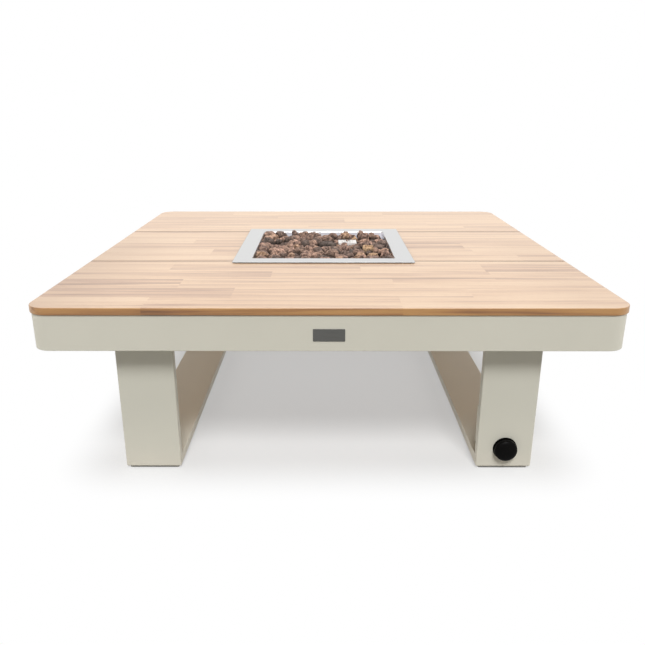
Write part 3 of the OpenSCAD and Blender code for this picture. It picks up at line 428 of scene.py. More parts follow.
def oiled_wood(seam_y):
    """Staved hardwood under oil: growth streaks, fibres and pores; the sides and edges take a darker copy of
    the colour, which is painted shade, and the seams a painted dark line of shade.
    """
    f = Finish("oiled_wood")
    stave = f.node("ShaderNodeAttribute", {"attribute_name": "stave"}, out="Vector")
    tone, figure, seed = f.split(stave)
    shift = f.node("ShaderNodeCombineXYZ", inputs=[seed * 3.7, seed * 1.9, seed * 2.3])
    at = f.vector("ADD", f.place, shift)
    streak = f.grain(at, (1.1, 28, 28), detail=3, rough=0.55, twist=0.6)
    line = f.grain(at, (1.8, 58, 58), detail=3, rough=0.6, twist=0.4)
    band = f.grain(at, (3, 120, 120), detail=3, rough=0.6, twist=0.3)
    fibre = f.grain(at, (14, 700, 700), detail=2, rough=0.6)
    pore = f.step(f.grain(at, (60, 1900, 1900), detail=1), 0.63, 0.72)
    vein = f.step(f.grain(at, (1.6, 75, 75), detail=2, twist=0.5), 0.60, 0.74)
    heart = f.step(streak, 0.25, 0.78) * (0.34 + 0.46 * figure) + 1.75 * line + 1.05 * band
    heart = heart + 0.2 * fibre + 0.66 * tone + 0.34 * vein - 1.72
    off_spot = f.vector("DIVIDE", f.vector("SUBTRACT", f.place, HEART_SPOT), HEART_SPREAD)
    spot = 1 - f.step(f.vector("LENGTH", off_spot, out="Value"), 0, 1)
    figured = spot * (0.8 * line - 0.16)
    top = f.ramp(heart + figured, [
        (0.0, (0.780, 0.574, 0.399)),
        (0.30, (0.712, 0.499, 0.337)),
        (0.55, (0.612, 0.416, 0.288)),
        (0.80, (0.500, 0.326, 0.232)),
        (1.0, (0.370, 0.232, 0.160)),
    ])
    x, y, _ = f.split(f.place)
    # The ends of the front board are darker, fading out towards the rear.
    darker_ends = DARK_END_LEFT * (1 - f.step(x, *DARK_END_LEFT_X)) + DARK_END_RIGHT * f.step(x, *DARK_END_RIGHT_X)
    top = f.mix(darker_ends * (1 - f.step(y, *DARK_END_FADE_Y)), top, (0.20, 0.10, 0.05))
    # Painted sheen: paler towards the rear and, by a slant, towards the right.
    top = f.mix(REAR_SHEEN * f.step(y + REAR_SHEEN_SLANT * x, *REAR_SHEEN_FADE), top, (0.84, 0.625, 0.43))
    across, _, upward = f.split(f.node("ShaderNodeNewGeometry", out="Normal"))
    end_grain = f.step(abs(across), 0.5, 0.9)
    shade = (1.5 - 0.9 * end_grain) * heart - 0.25 * tone + 0.4 * figured
    # Side colours: a darker, more saturated copy of the top colours, painted shade on the sides and edges,
    # darker still on end grain.
    side = f.ramp(shade - 0.06 + 0.10 * end_grain, [
        (0.0, (0.422, 0.220, 0.073)),
        (0.35, (0.340, 0.163, 0.053)),
        (0.70, (0.225, 0.100, 0.034)),
        (1.0, (0.130, 0.055, 0.020)),
    ])
    # Faces that look up take the top colours, the others the painted-shade side colours.
    colour = f.mix(f.step(upward, 0.62, 0.96), side, top)
    colour = f.mix(0.30 * pore, colour, (0.22, 0.12, 0.07))
    # Painted shade: a dark line along the seams between the boards.
    off_seam = abs(abs(y) - seam_y)
    colour = f.mix(f.step(off_seam, *SEAM_SHADE_FADE), (0.15, 0.080, 0.040), colour)
    f.set(
        Base_Color=colour,
        Roughness=0.38 + 0.10 * fibre + 0.12 * pore,
        Coat_Weight=0.5,
        Coat_Roughness=0.34,
        Normal=f.bump(fibre * 0.5 - pore, 0.25, 0.15 * MM),
    )
    return f.material


def powder_coat(name, dust_and_painted_light=False):
    """Matt powder coat: faint clouding, the peel of the sprayed surface, thinner on the edges.

    A leg coat is darker higher up, painted shade, and paler near the floor, dust and painted floor bounce;
    faces that lie flat there are paler still, dust and painted bounce light.
    """
    f = Finish(name)
    cloud = f.noise(f.place, 6, detail=3)
    peel = f.noise(f.place, 520, detail=2)
    speck = f.noise(f.place, 1500, detail=1)
    scuff = f.step(f.grain(f.place, (45, 8, 45), detail=4, rough=0.7), 0.66, 0.76)
    rounded, edge = f.edges(1.2 * MM)
    colour = f.mix(cloud, (0.543, 0.534, 0.466), (0.583, 0.573, 0.503))
    colour = f.mix(0.30 * edge, colour, (0.66, 0.64, 0.57))
    colour = f.mix(0.10 * scuff + 0.06 * speck, colour, (0.50, 0.475, 0.41))
    if dust_and_painted_light:
        _, along, height = f.split(f.place)
        upward = f.split(f.node("ShaderNodeNewGeometry", out="Normal"))[2]
        # Painted shade: darker higher up the leg.
        colour = f.mix(0.15 * f.step(height, *LEG_SHADE_Z), colour, (0.27, 0.29, 0.26))
        # Paler near the floor: dust and painted floor bounce.
        colour = f.mix(0.30 * (1 - f.step(height, *LEG_DUST_AND_BOUNCE_Z)), colour, (0.66, 0.61, 0.53))
        # Faces that lie flat near the floor: dust and painted bounce light, thinner towards the ends of the
        # runners.
        kept = 1 - 0.8 * f.step(abs(along), *DUST_AND_BOUNCE_THIN_Y)
        dust_and_bounce = f.step(upward, *FLAT_DUST_AND_BOUNCE) * kept * (0.75 + 0.5 * cloud)
        colour = f.mix(dust_and_bounce, colour, (0.780, 0.695, 0.565))
    f.set(
        Base_Color=colour,
        Roughness=0.46 + 0.10 * cloud - 0.08 * scuff,
        Normal=f.bump(peel, 0.10, 0.12 * MM, rounded),
    )
    return f.material


def brushed_stainless(rim_z, grate_z, rim_middle, rim_half):
    """Stainless sheet brushed along the front: a painted dark reflection on the rim's outer edge, and a pale
    painted sky reflection low on the rear wall.
    """
    f = Finish("brushed_stainless")
    _, along, height = f.split(f.place)
    out_x, out_y, _ = f.split(f.vector("ABSOLUTE", f.vector("SUBTRACT", f.place, rim_middle)))
    # Painted dark reflection on the rim's outer edge.
    dark_rim_edge_reflection = f.step(out_x.larger(out_y), *[rim_half - inset for inset in RIM_DARK_REFLECTION])
    line = f.grain(f.place, (5, 1300, 1300), detail=3, rough=0.6)
    cloud = f.noise(f.place, 9, detail=3)
    depth = f.step(height, rim_z, grate_z)
    # Painted reflection of a bright sky, low on the rear wall: paler and less metallic.
    painted_sky_reflection = f.step(height, *[rim_z - down for down in SKY_REFLECTION_DOWN]) * f.step(along, *SKY_REFLECTION_Y)
    tint = f.ramp(f.step(cloud, 0.3, 0.7), [
        (0.0, (0.78, 0.75, 0.70)),
        (0.5, (0.76, 0.78, 0.84)),
        (1.0, (0.72, 0.76, 0.88)),
    ])
    rounded, edge = f.edges(0.8 * MM)
    colour = f.mix(line, (0.64, 0.645, 0.645), (0.75, 0.75, 0.745))
    colour = f.mix(0.4 * depth, colour, tint)
    colour = f.mix(painted_sky_reflection, colour, f.mix(cloud, (0.82, 0.83, 0.92), (0.90, 0.90, 0.95)))
    colour = f.mix(0.5 * edge, colour, (0.85, 0.85, 0.85))
    colour = f.mix(0.9 * dark_rim_edge_reflection, colour, (0.16, 0.16, 0.165))
    f.set(
        Base_Color=colour,
        Metallic=1 - 0.9 * painted_sky_reflection,
        Roughness=0.26 + 0.14 * line + 0.06 * cloud + 0.25 * painted_sky_reflection,
        Normal=f.bump(line, 0.12, 0.05 * MM, rounded),
    )
    return f.material


def pale_guard_sheet():
    """Thin stainless sheet, pale and barely metallic, with grey patches that are more metallic."""
    f = Finish("pale_guard_sheet")
    patch = f.step(f.noise(f.place, 70, detail=4, rough=0.6), 0.40, 0.72)
    speck = f.noise(f.place, 900, detail=2)
    rounded, edge = f.edges(0.4 * MM)
    colour = f.mix(patch, (0.90, 0.88, 0.86), (0.72, 0.70, 0.69))
    colour = f.mix(0.15 * speck + 0.2 * edge, colour, (0.55, 0.53, 0.52))
    f.set(
        Base_Color=colour,
        Metallic=0.1 + 0.3 * patch,
        Roughness=0.46 + 0.2 * speck,
        Normal=f.bump(speck, 0.15, 0.05 * MM, rounded),
    )
    return f.material


def zinc_plate():
    """Zinc plated steel: small spangle, slightly blue, worn bright on the edges."""
    f = Finish("zinc_plate")
    spangle = f.cells(f.place, 900, out="Color")
    patch = f.split(spangle)[0]
    cloud = f.noise(f.place, 120, detail=3)
    rounded, edge = f.edges(0.4 * MM)
    colour = f.mix(patch, (0.48, 0.50, 0.53), (0.60, 0.61, 0.62))
    colour = f.mix(0.5 * edge, colour, (0.76, 0.76, 0.76))
    f.set(
        Base_Color=colour,
        Metallic=1.0,
        Roughness=0.30 + 0.16 * cloud + 0.06 * patch,
        Normal=f.bump(cloud, 0.10, 0.05 * MM, rounded),
    )
    return f.material


def dark_plate():
    """Dark anodised aluminium, brushed along its length, with bright edges."""
    f = Finish("dark_plate")
    line = f.grain(f.place, (30, 2600, 2600), detail=3, rough=0.6)
    cloud = f.noise(f.place, 60, detail=2)
    rounded, edge = f.edges(0.5 * MM)
    colour = f.mix(line, (0.085, 0.085, 0.080), (0.150, 0.148, 0.138))
    colour = f.mix(0.8 * edge, colour, (0.42, 0.42, 0.40))
    f.set(
        Base_Color=colour,
        Metallic=1.0,
        Roughness=0.30 + 0.14 * line + 0.06 * cloud,
        Normal=f.bump(line, 0.15, 0.04 * MM, rounded),
    )
    return f.material


def machined_brass():
    """Turned brass with a light tarnish away from the edges."""
    f = Finish("machined_brass")
    turn = f.noise(f.place, 1600, detail=2)
    tarnish = f.step(f.noise(f.place, 90, detail=4), 0.42, 0.70)
    rounded, edge = f.edges(0.5 * MM)
    colour = f.mix(tarnish, (0.72, 0.53, 0.23), (0.47, 0.32, 0.13))
    colour = f.mix(0.6 * edge, colour, (0.86, 0.68, 0.36))
    f.set(
        Base_Color=colour,
        Metallic=1.0,
        Roughness=0.22 + 0.18 * tarnish + 0.05 * turn,
        Normal=f.bump(turn, 0.08, 0.04 * MM, rounded),
    )
    return f.material


def drawn_copper():
    """Drawn copper tube, browned in patches."""
    f = Finish("drawn_copper")
    line = f.grain(f.place, (40, 40, 1200), detail=2)
    brown = f.step(f.noise(f.place, 45, detail=4, rough=0.6), 0.40, 0.68)
    colour = f.mix(brown, (0.74, 0.40, 0.25), (0.38, 0.19, 0.12))
    f.set(
        Base_Color=colour,
        Metallic=1.0,
        Roughness=0.24 + 0.20 * brown + 0.06 * line,
        Normal=f.bump(line, 0.06, 0.04 * MM),
    )
    return f.material


def die_cast():
    """Die cast alloy: fine pebbled skin, edges rubbed bright."""
    f = Finish("die_cast")
    pebble = f.noise(f.place, 800, detail=3)
    cloud = f.noise(f.place, 40, detail=3)
    rounded, edge = f.edges(0.9 * MM)
    colour = f.mix(cloud, (0.46, 0.46, 0.47), (0.60, 0.60, 0.60))
    colour = f.mix(0.6 * edge, colour, (0.74, 0.74, 0.74))
    f.set(
        Base_Color=colour,
        Metallic=1.0,
        Roughness=0.44 + 0.14 * pebble,
        Normal=f.bump(pebble, 0.30, 0.10 * MM, rounded),
    )
    return f.material


def kiln_ceramic():
    """Unglazed insulator, a little sooted."""
    f = Finish("kiln_ceramic")
    speck = f.noise(f.place, 1400, detail=2)
    soot = f.step(f.noise(f.place, 140, detail=4), 0.45, 0.75)
    colour = f.mix(speck, (0.80, 0.77, 0.70), (0.90, 0.88, 0.82))
    colour = f.mix(0.5 * soot, colour, (0.28, 0.25, 0.22))
    f.set(Base_Color=colour, Roughness=0.55 + 0.25 * speck, Normal=f.bump(speck, 0.2, 0.05 * MM))
    return f.material


def black_rubber():
    """Matt rubber with a bloom of dust."""
    f = Finish("black_rubber")
    pebble = f.noise(f.place, 1100, detail=2)
    dust = f.step(f.noise(f.place, 70, detail=4), 0.45, 0.80)
    rounded, edge = f.edges(0.6 * MM)
    colour = f.mix(0.5 * dust + 0.25 * edge, (0.022, 0.022, 0.022), (0.085, 0.080, 0.072))
    f.set(Base_Color=colour, Roughness=0.66 + 0.22 * pebble, Normal=f.bump(pebble, 0.25, 0.08 * MM, rounded))
    return f.material


def scuffed_glide():
    """Grey moulded plastic, scuffed and dusty from the floor."""
    f = Finish("scuffed_glide")
    skin = f.noise(f.place, 1300, detail=2)
    scuff = f.step(f.grain(f.place, (300, 60, 300), detail=4, rough=0.7), 0.52, 0.72)
    rounded, edge = f.edges(0.6 * MM)
    colour = f.mix(0.5 * scuff + 0.3 * edge, (0.27, 0.27, 0.26), (0.42, 0.41, 0.39))
    f.set(Base_Color=colour, Roughness=0.58 + 0.20 * skin, Normal=f.bump(skin, 0.2, 0.06 * MM, rounded))
    return f.material


def knob_plastic():
    """Black moulded plastic, finely grained, a little shinier where fingers rub it."""
    f = Finish("knob_plastic")
    skin = f.noise(f.place, 2400, detail=2)
    rub = f.noise(f.place, 55, detail=3)
    rounded, edge = f.edges(1.1 * MM)
    colour = f.mix(0.4 * edge + 0.25 * rub, (0.0022, 0.0020, 0.0020), (0.009, 0.0085, 0.008))
    f.set(
        Base_Color=colour,
        Roughness=0.30 + 0.10 * rub + 0.06 * skin,
        Specular_IOR_Level=0.04,
        Normal=f.bump(skin, 0.05, 0.04 * MM, rounded),
    )
    return f.material


def lava_rock():
    """Porous lava: open bubbles in several sizes with painted shade inside, painted highlights on the ridges
    and painted shade in the bowls and low on each rock, each rock of its own colour.
    """
    f = Finish("lava_rock")
    rock = f.node("ShaderNodeAttribute", {"attribute_name": "rock"}, out="Vector")
    tone, warmth, seed = f.split(rock)
    ridge = f.node("ShaderNodeAttribute", {"attribute_name": "ridge"}, out="Fac")
    soot = f.node("ShaderNodeAttribute", {"attribute_name": "soot"}, out="Fac")
    shift = f.node("ShaderNodeCombineXYZ", inputs=[seed * 0.31, seed * 0.17, seed * 0.23])
    at = f.vector("ADD", f.place, shift)
    bubble = f.step(f.cells(at, 260), 0.16, 0.42)
    pinhole = f.step(f.cells(at, 620), 0.14, 0.40)
    pit = f.step(f.cells(at, 125), 0.12, 0.30)
    crust = f.step(f.noise(at, 150, detail=5, rough=0.65), 0.28, 0.72)
    grit = f.noise(at, 900, detail=3, rough=0.7)
    # Painted highlight on the ridges and painted shade in the bowls, over the crust's own mottle.
    worn = 0.75 * crust + 1.0 * ridge - 0.32
    brown = f.mix(worn, (0.085, 0.046, 0.035), (0.850, 0.525, 0.402))
    grey = f.mix(worn, (0.016, 0.014, 0.013), (0.150, 0.122, 0.107))
    tan = f.mix(worn, (0.380, 0.205, 0.095), (0.840, 0.560, 0.320))
    colour = f.mix(tone, brown, grey)
    colour = f.mix(warmth, colour, tan)
    colour = f.mix(0.13 * grit, colour, (0.56, 0.44, 0.38))
    # Painted shade inside the bubbles, pinholes and pits.
    hollow = f.mix(0.72, colour, (0.030, 0.020, 0.016))
    colour = f.mix(bubble, hollow, colour)
    colour = f.mix(0.6 + 0.4 * pinhole, hollow, colour)
    colour = f.mix(0.2 + 0.8 * pit, hollow, colour)
    # The soot attribute is painted shade on the lower parts of each rock.
    colour = f.mix(0.9 * soot, colour, (0.026, 0.018, 0.014))
    height = bubble + 0.35 * pinhole + 1.2 * pit + 0.5 * crust + 0.12 * grit
    f.set(Base_Color=colour, Roughness=0.86 + 0.10 * grit, Normal=f.bump(height, 0.9, 2.0 * MM))
    return f.material


# Meshes


def outline(box, radii, inset, z, steps=12):
    """Points round a rectangle with its own radius at each corner, drawn in by an inset."""
    x0, x1, y0, y1 = box
    corners = [(x1, y1, 1, 1), (x0, y1, -1, 1), (x0, y0, -1, -1), (x1, y0, 1, -1)]
    points = []
    for quarter, (x, y, sx, sy) in enumerate(corners):
        r = max(radii[quarter] - inset, LEAST_R)
        middle = (x - sx * (inset + r), y - sy * (inset + r))
        for step in range(steps + 1):
            turn = math.pi / 2 * (quarter + step / steps)
            points.append((middle[0] + r * math.cos(turn), middle[1] + r * math.sin(turn), z))
    return points


def arc(middle, r, start, end, steps):
    """Points of a profile along a quarter or less: inset and height, angles in degrees."""
    turns = [math.radians(start + (end - start) * k / steps) for k in range(steps + 1)]
    return [(middle[0] + r * math.cos(t), middle[1] + r * math.sin(t)) for t in turns]


def loft(rings, closed=False):
    """A skin over rings of points; its ends are capped, or joined to each other."""
    bm = bmesh.new()
    rows = [[bm.verts.new(p) for p in ring] for ring in rings]
    count = len(rows[0])
    pairs = list(zip(rows, rows[1:]))
    if closed:
        pairs.append((rows[-1], rows[0]))
    for low, high in pairs:
        for k in range(count):
            n = (k + 1) % count
            bm.faces.new((low[k], low[n], high[n], high[k]))
    if not closed:
        bm.faces.new(reversed(rows[0]))
        bm.faces.new(rows[-1])
    return bm


def piece(name, bm, finish, replaced, body="table"):
    """A finished piece of the table, in the place of its CAD nodes."""
    mesh = bpy.data.meshes.new(name)
    bm.to_mesh(mesh)
    bm.free()
    mesh.polygons.foreach_set("use_smooth", [True] * len(mesh.polygons))
    mesh.set_sharp_from_angle(angle=SHARP_ANGLE)
    mesh.materials.append(finish)
    made = bpy.data.objects.new(name, mesh)
    bpy.context.scene.collection.objects.link(made)
    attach(made, body)
    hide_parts(*replaced)
    return made


def even_normals(made):
    """Keeps broad faces flat where rounded edges run into them."""
    even = made.modifiers.new("even_normals", "WEIGHTED_NORMAL")
    even.keep_sharp = True
    even.weight = FLAT_WEIGHT


def stave_rows(low, high, outer):
    """Where the rows of staves meet, counted inwards from the outer edge."""
    edge, way = (low, 1) if outer == "low" else (high, -1)
    lines = []
    at = edge + way * STAVE_FIRST
    while low < at < high:
        lines.append(at)
        at += way * STAVE_W
    return sorted(lines)


def cut_row(bm, y0, y1, x):
    """Cuts the faces of one row of staves across at x."""
    faces = [face for face in bm.faces if y0 < face.calc_center_median().y < y1]
    edges = {edge for face in faces for edge in face.edges}
    verts = {vert for face in faces for vert in face.verts}
    bmesh.ops.bisect_plane(
        bm, geom=[*verts, *edges, *faces], dist=SAME_POINT, plane_co=(x, 0, 0), plane_no=(1, 0, 0)
    )


def random_joints(rng, x0, x1):
    """Where the staves of one row meet, from one end of the board to the other."""
    joints = []
    x = x0 + rng.uniform(FIRST_STAVE_LEAST, STAVE_LONG)
    while x < x1 - LAST_STAVE_LEAST:
        joints.append(x)
        x += rng.uniform(STAVE_SHORT, STAVE_LONG)
    return joints


def board(name, node, radii, outer, joints, tones, finish, seed):
    """A board glued up from staves, its edges eased all round."""
    rng = random.Random(seed)
    low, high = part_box(node)
    box = (low.x, high.x, low.y, high.y)
    profile = arc((BOARD_LOW_EASE, low.z + BOARD_LOW_EASE), BOARD_LOW_EASE, 270, 180, 3)
    profile += arc((BOARD_EASE, high.z - BOARD_EASE), BOARD_EASE, 180, 90, 5)
    bm = loft([outline(box, radii, inset, z) for inset, z in profile])
    lines = stave_rows(low.y, high.y, outer)
    for y in lines:
        whole = [*bm.verts, *bm.edges, *bm.faces]
        bmesh.ops.bisect_plane(bm, geom=whole, dist=SAME_POINT, plane_co=(0, y, 0), plane_no=(0, 1, 0))
    edges = [low.y - 1, *lines, high.y + 1]
    rows = list(zip(edges, edges[1:]))
    if outer == "high":
        rows.reverse()
    staves = []
    for number, (y0, y1) in enumerate(rows):
        cuts = joints[number] if number < len(joints) else random_joints(rng, low.x, high.x)
        for x in cuts:
            cut_row(bm, y0, y1, x)
        ends = [low.x - 1, *cuts, high.x + 1]
        for place, (x0, x1) in enumerate(zip(ends, ends[1:])):
            tone = tones.get((number, place), rng.betavariate(*TONE_DRAW))
            staves.append((x0, x1, y0, y1, (tone, rng.random(), rng.random())))
    layer = bm.faces.layers.float_vector.new("stave")
    for face in bm.faces:
        middle = face.calc_center_median()
        for x0, x1, y0, y1, look in staves:
            if x0 < middle.x < x1 and y0 < middle.y < y1:
                face[layer] = look
    even_normals(piece(name, bm, finish, [node]))


def make_boards(finish):
    big, small = BOARD_CORNER, BOARD_SEAM_CORNER
    board("board_front", "top_plank_front", (small, small, big, big), "low",
          FRONT_JOINTS, FRONT_TONES, finish, 11)
    board("board_rear", "top_plank_rear", (big, big, small, small), "high",
          REAR_JOINTS, {}, finish, 23)
    board("board_left", "top_panel_left", (small,) * 4, "low", [], {}, finish, 37)
    board("board_right", "top_panel_right", (small,) * 4, "low", [], {}, finish, 41)


def make_apron(finish):
    """One bent sheet with small bends: wall, upper flange and lower flange."""
    low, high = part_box("apron_frame")
    box = (low.x, high.x, low.y, high.y)
    wall, bend = APRON_WALL, APRON_BEND
    z0, z1 = low.z, high.z
    profile = arc((bend, z0 + bend), bend, 270, 180, 4)
    profile += arc((bend, z1 - bend), bend, 180, 90, 4)
    profile += [(APRON_FLANGE_TOP, z1), (APRON_FLANGE_TOP, z1 - wall), (wall, z1 - wall)]
    profile += [(wall, z0 + wall), (APRON_FLANGE_LOW, z0 + wall), (APRON_FLANGE_LOW, z0)]
    radii = (APRON_CORNER,) * 4
    bm = loft([outline(box, radii, inset, z, 16) for inset, z in profile], closed=True)
    even_normals(piece("apron", bm, finish, ["apron_frame"]))


def make_leg(side, finish):
    """A sled leg: two uprights and a runner of flat tube, welded and ground smooth."""
    names = [f"leg_{side}_{part}" for part in ("front", "runner", "rear")]
    low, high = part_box(names[0])
    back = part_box(names[2])[1]
    tube = high.y - low.y
    y0, y1, z0, z1 = low.y, back.y, low.z, high.z
    shape = [
        (y0, z1), (y0, z0), (y1, z0), (y1, z1),
        (y1 - tube, z1), (y1 - tube, z0 + tube), (y0 + tube, z0 + tube), (y0 + tube, z1),
    ]
    bm = bmesh.new()
    flat = [[bm.verts.new((x, y, z)) for y, z in shape] for x in (low.x, high.x)]
    bm.faces.new(reversed(flat[0]))
    bm.faces.new(flat[1])
    for k in range(len(shape)):
        n = (k + 1) % len(shape)
        bm.faces.new((flat[0][k], flat[0][n], flat[1][n], flat[1][k]))
    bmesh.ops.recalc_face_normals(bm, faces=bm.faces)
    rounded = [edge for edge in bm.edges if min(v.co.z for v in edge.verts) < z1 - tube]
    bmesh.ops.bevel(bm, geom=rounded, offset=LEG_EDGE, segments=4, profile=0.5, affect="EDGES")
    even_normals(piece(f"sled_leg_{side}", bm, finish, names))


def make_tray(finish):
    """The burner tray: a flat rim, a bend at its mouth, straight walls and a floor."""
    low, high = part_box("burner_tray")
    box = (low.x, high.x, low.y, high.y)
    sheet, bend, foot = TRAY_SHEET, TRAY_MOUTH_BEND, TRAY_FLOOR_BEND
    edge = sheet / 2
    z0, z1 = low.z, high.z
    wall = TRAY_RIM
    profile = [(wall + foot, z0)]
    profile += arc((wall - sheet + foot, z0 + foot), foot, 270, 180, 4)
    profile += arc((wall - bend, z1 - bend), bend - sheet, 0, 90, 3)
    profile += arc((edge, z1 - edge), edge, 270, 90, 6)
    profile += arc((wall - bend, z1 - bend), bend, 90, 0, 5)
    profile += arc((wall + foot - sheet, z0 + foot), foot - sheet, 180, 270, 4)

    def ring(inset, z):
        corner = TRAY_RIM_CORNER if inset < wall / 2 else TRAY_PAN_CORNER + inset
        return outline(box, (corner,) * 4, inset, z, 8)

    bm = loft([ring(inset, z) for inset, z in profile])
    even_normals(piece("tray", bm, finish, ["burner_tray"]))


def make_name_plate(finish):
    """A bare plate with eased edges."""
    low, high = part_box("name_plate")
    thick = high.y - low.y
    ease = thick * PLATE_EASE
    box = (low.x, high.x, low.z, high.z)
    corner = (PLATE_CORNER,) * 4
    profile = [(0, 0)] + arc((ease, thick - ease), ease, 180, 90, 4)
    rings = [outline(box, corner, inset, h, 6) for inset, h in profile]
    turned = [[(x, high.y - h, z) for x, z, h in ring] for ring in rings]
    even_normals(piece("bare_plate", loft(turned), finish, ["name_plate"]))


def make_knob(finish):
    """A domed knob with a hollow back, a hub and a bore; its dimple points up when the gas is off."""
    low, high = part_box("control_knob")
    middle, r = (low + high) / 2, (high.x - low.x) / 2
    long, skirt, ease = high.y - low.y, r - KNOB_SKIRT, KNOB_EASE
    hub, bore = KNOB_HUB, KNOB_BORE
    profile = [(bore, KNOB_BORE_DEEP), (bore, ease), (bore + ease, 0), (hub - ease, 0), (hub, ease)]
    profile += [(hub, KNOB_HOLLOW), (skirt, KNOB_HOLLOW), (skirt, ease), (skirt + ease, 0)]
    profile += arc((r - ease, ease), ease, 270, 360, 4)
    rise = long - KNOB_EDGE
    for k in range(KNOB_RINGS + 1):
        t = math.radians(KNOB_LAST_RING * k / KNOB_RINGS)
        profile.append((r * math.cos(t) ** KNOB_ROUND, KNOB_EDGE + rise * math.sin(t) ** KNOB_ROUND))
    spokes = [2 * math.pi * k / KNOB_SPOKES for k in range(KNOB_SPOKES)]
    rings = [[(middle.x + p * math.cos(t), high.y - h, middle.z + p * math.sin(t)) for t in spokes]
             for p, h in profile]
    bm = loft(rings)
    bmesh.ops.recalc_face_normals(bm, faces=bm.faces)
    for vert in bm.verts:
        off = math.hypot(vert.co.x - middle.x, vert.co.z - middle.z - KNOB_DIMPLE_UP)
        if vert.co.y < high.y - KNOB_EDGE and off < KNOB_DIMPLE_R:
            vert.co.y += KNOB_DIMPLE_DEEP * math.cos(math.pi / 2 * off / KNOB_DIMPLE_R)
    even_normals(piece("domed_knob", bm, finish, ["control_knob"], body="knob"))


# Lava rock bed


def lumps(node):
    """The middle and the half size of each separate lump of a CAD node."""
    bm = bmesh.new()
    bm.from_mesh(nodes[node].data)
    bmesh.ops.remove_doubles(bm, verts=bm.verts, dist=SAME_POINT)
    left = set(bm.verts)
    found = []
    for first in list(bm.verts):
        if first not in left:
            continue
        left.discard(first)
        group = [first]
        for vert in group:
            near = {edge.other_vert(vert) for edge in vert.link_edges} & left
            left -= near
            group += sorted(near, key=lambda v: v.index)
        low = Vector([min(v.co[k] for v in group) for k in range(3)])
        high = Vector([max(v.co[k] for v in group) for k in range(3)])
        found.append(((low + high) / 2, (high - low) / 2))
    bm.free()
    return found


def weathered(point, seed):
    """Lava's broken bubbles: how far a point stands out, in metres, and its ridge, 0 in a bowl to 1."""
    at = point / MM + Vector((seed, seed * 0.7, seed * 1.3))
    bowl = noise.voronoi(at / BOWL_SIZE)[0][0] - 0.5
    pock = noise.voronoi(at / POCK_SIZE)[0][0] - 0.5
    lump = noise.noise(at / LUMP_SIZE)
    ridge = RIDGE_MEAN + RIDGE_BOWL * bowl + RIDGE_POCK * pock
    return (BOWL_DEEP * bowl + POCK_DEEP * pock + LUMP_HIGH * lump) * MM, min(max(ridge, 0), 1)


def chunk(rng, half):
    """How far a broken lump reaches in each direction: an oval with flat breaks."""
    turn = Euler([rng.uniform(-ROCK_TILT, ROCK_TILT) for _ in range(3)]).to_matrix()

    def oval(way):
        turned = turn @ way
        return 1 / math.sqrt(sum((turned[k] / half[k]) ** 2 for k in range(3)))

    breaks = []
    for _ in range(ROCK_BREAKS):
        flat = Vector([rng.gauss(0, 1) for _ in range(3)]).normalized()
        breaks.append((flat, oval(flat) * rng.uniform(*BREAK_DEPTHS)))

    def reach(way):
        far = oval(way)
        for flat, depth in breaks:
            along = way.dot(flat)
            if along * far > depth:
                far = depth / along
        return far

    return reach


def add_rock(bm, rng, middle, half, look, detail):
    """Adds one rock: a ball drawn out to its chunk's reach, weathered, with painted shade on its lower part.
    """
    layers = bm.verts.layers
    rock, ridge, soot = layers.float_vector["rock"], layers.float["ridge"], layers.float["soot"]
    verts = bmesh.ops.create_icosphere(bm, subdivisions=detail, radius=1)["verts"]
    reach = chunk(rng, half)
    seed = rng.uniform(0, 900)
    share = min(1, max(half) / WEATHERED_FULLY)
    for vert in verts:
        way = vert.co.normalized()
        point = way * reach(way)
        out, vert[ridge] = weathered(point, seed)
        vert.co = point + way * share * out
        vert[rock] = look
    low = min(vert.co.z for vert in verts)
    high = max(vert.co.z for vert in verts)
    for vert in verts:
        level = 2 * (vert.co.z - low) / (high - low) - 1
        vert.co.z = half[2] * (0.5 * level + 0.5 * math.sin(math.pi / 2 * level))
        # The soot layer holds painted shade, growing with depth below the rock's top.
        deep = (half[2] - vert.co.z - LOW_SHADE_START) / LOW_SHADE_DEPTH
        vert[soot] = min(max(deep, 0), 1)
        vert.co += middle


def rock_look(rng):
    """Tone from brown, 0, to grey, 1, then warmth, and a seed for the pattern."""
    draw = rng.random()
    if draw < GREY_BELOW:
        return rng.uniform(*GREY_TONES), 0, rng.random()
    if draw < WARM_BELOW:
        return WARM_TONE, rng.uniform(*WARM_WARMTHS), rng.random()
    return rng.uniform(*BROWN_TONES), rng.uniform(*BROWN_WARMTHS), rng.random()


def sooted(look, middle, fire):
    """Rocks over the middle of the burner are greyer."""
    tone, warmth, seed = look
    near = max(0, 1 - math.hypot(middle.x - fire.x, middle.y - fire.y) / FIRE_R)
    return min(tone + FIRE_GREY * near, 1), warmth, seed


def rock_limit(middle, guard_low, guard_high):
    """How high a rock may stand: lower in front of the igniter guard, which stays in view."""
    ahead = guard_low.y - middle.y
    beside = max(guard_low.x - middle.x, middle.x - guard_high.x)
    if GUARD_AHEAD[0] < ahead < GUARD_AHEAD[1] and beside < GUARD_BESIDE:
        return guard_high.z - GUARD_SHOWN + GUARD_SLOPE * ahead
    return ROCK_HIGHEST


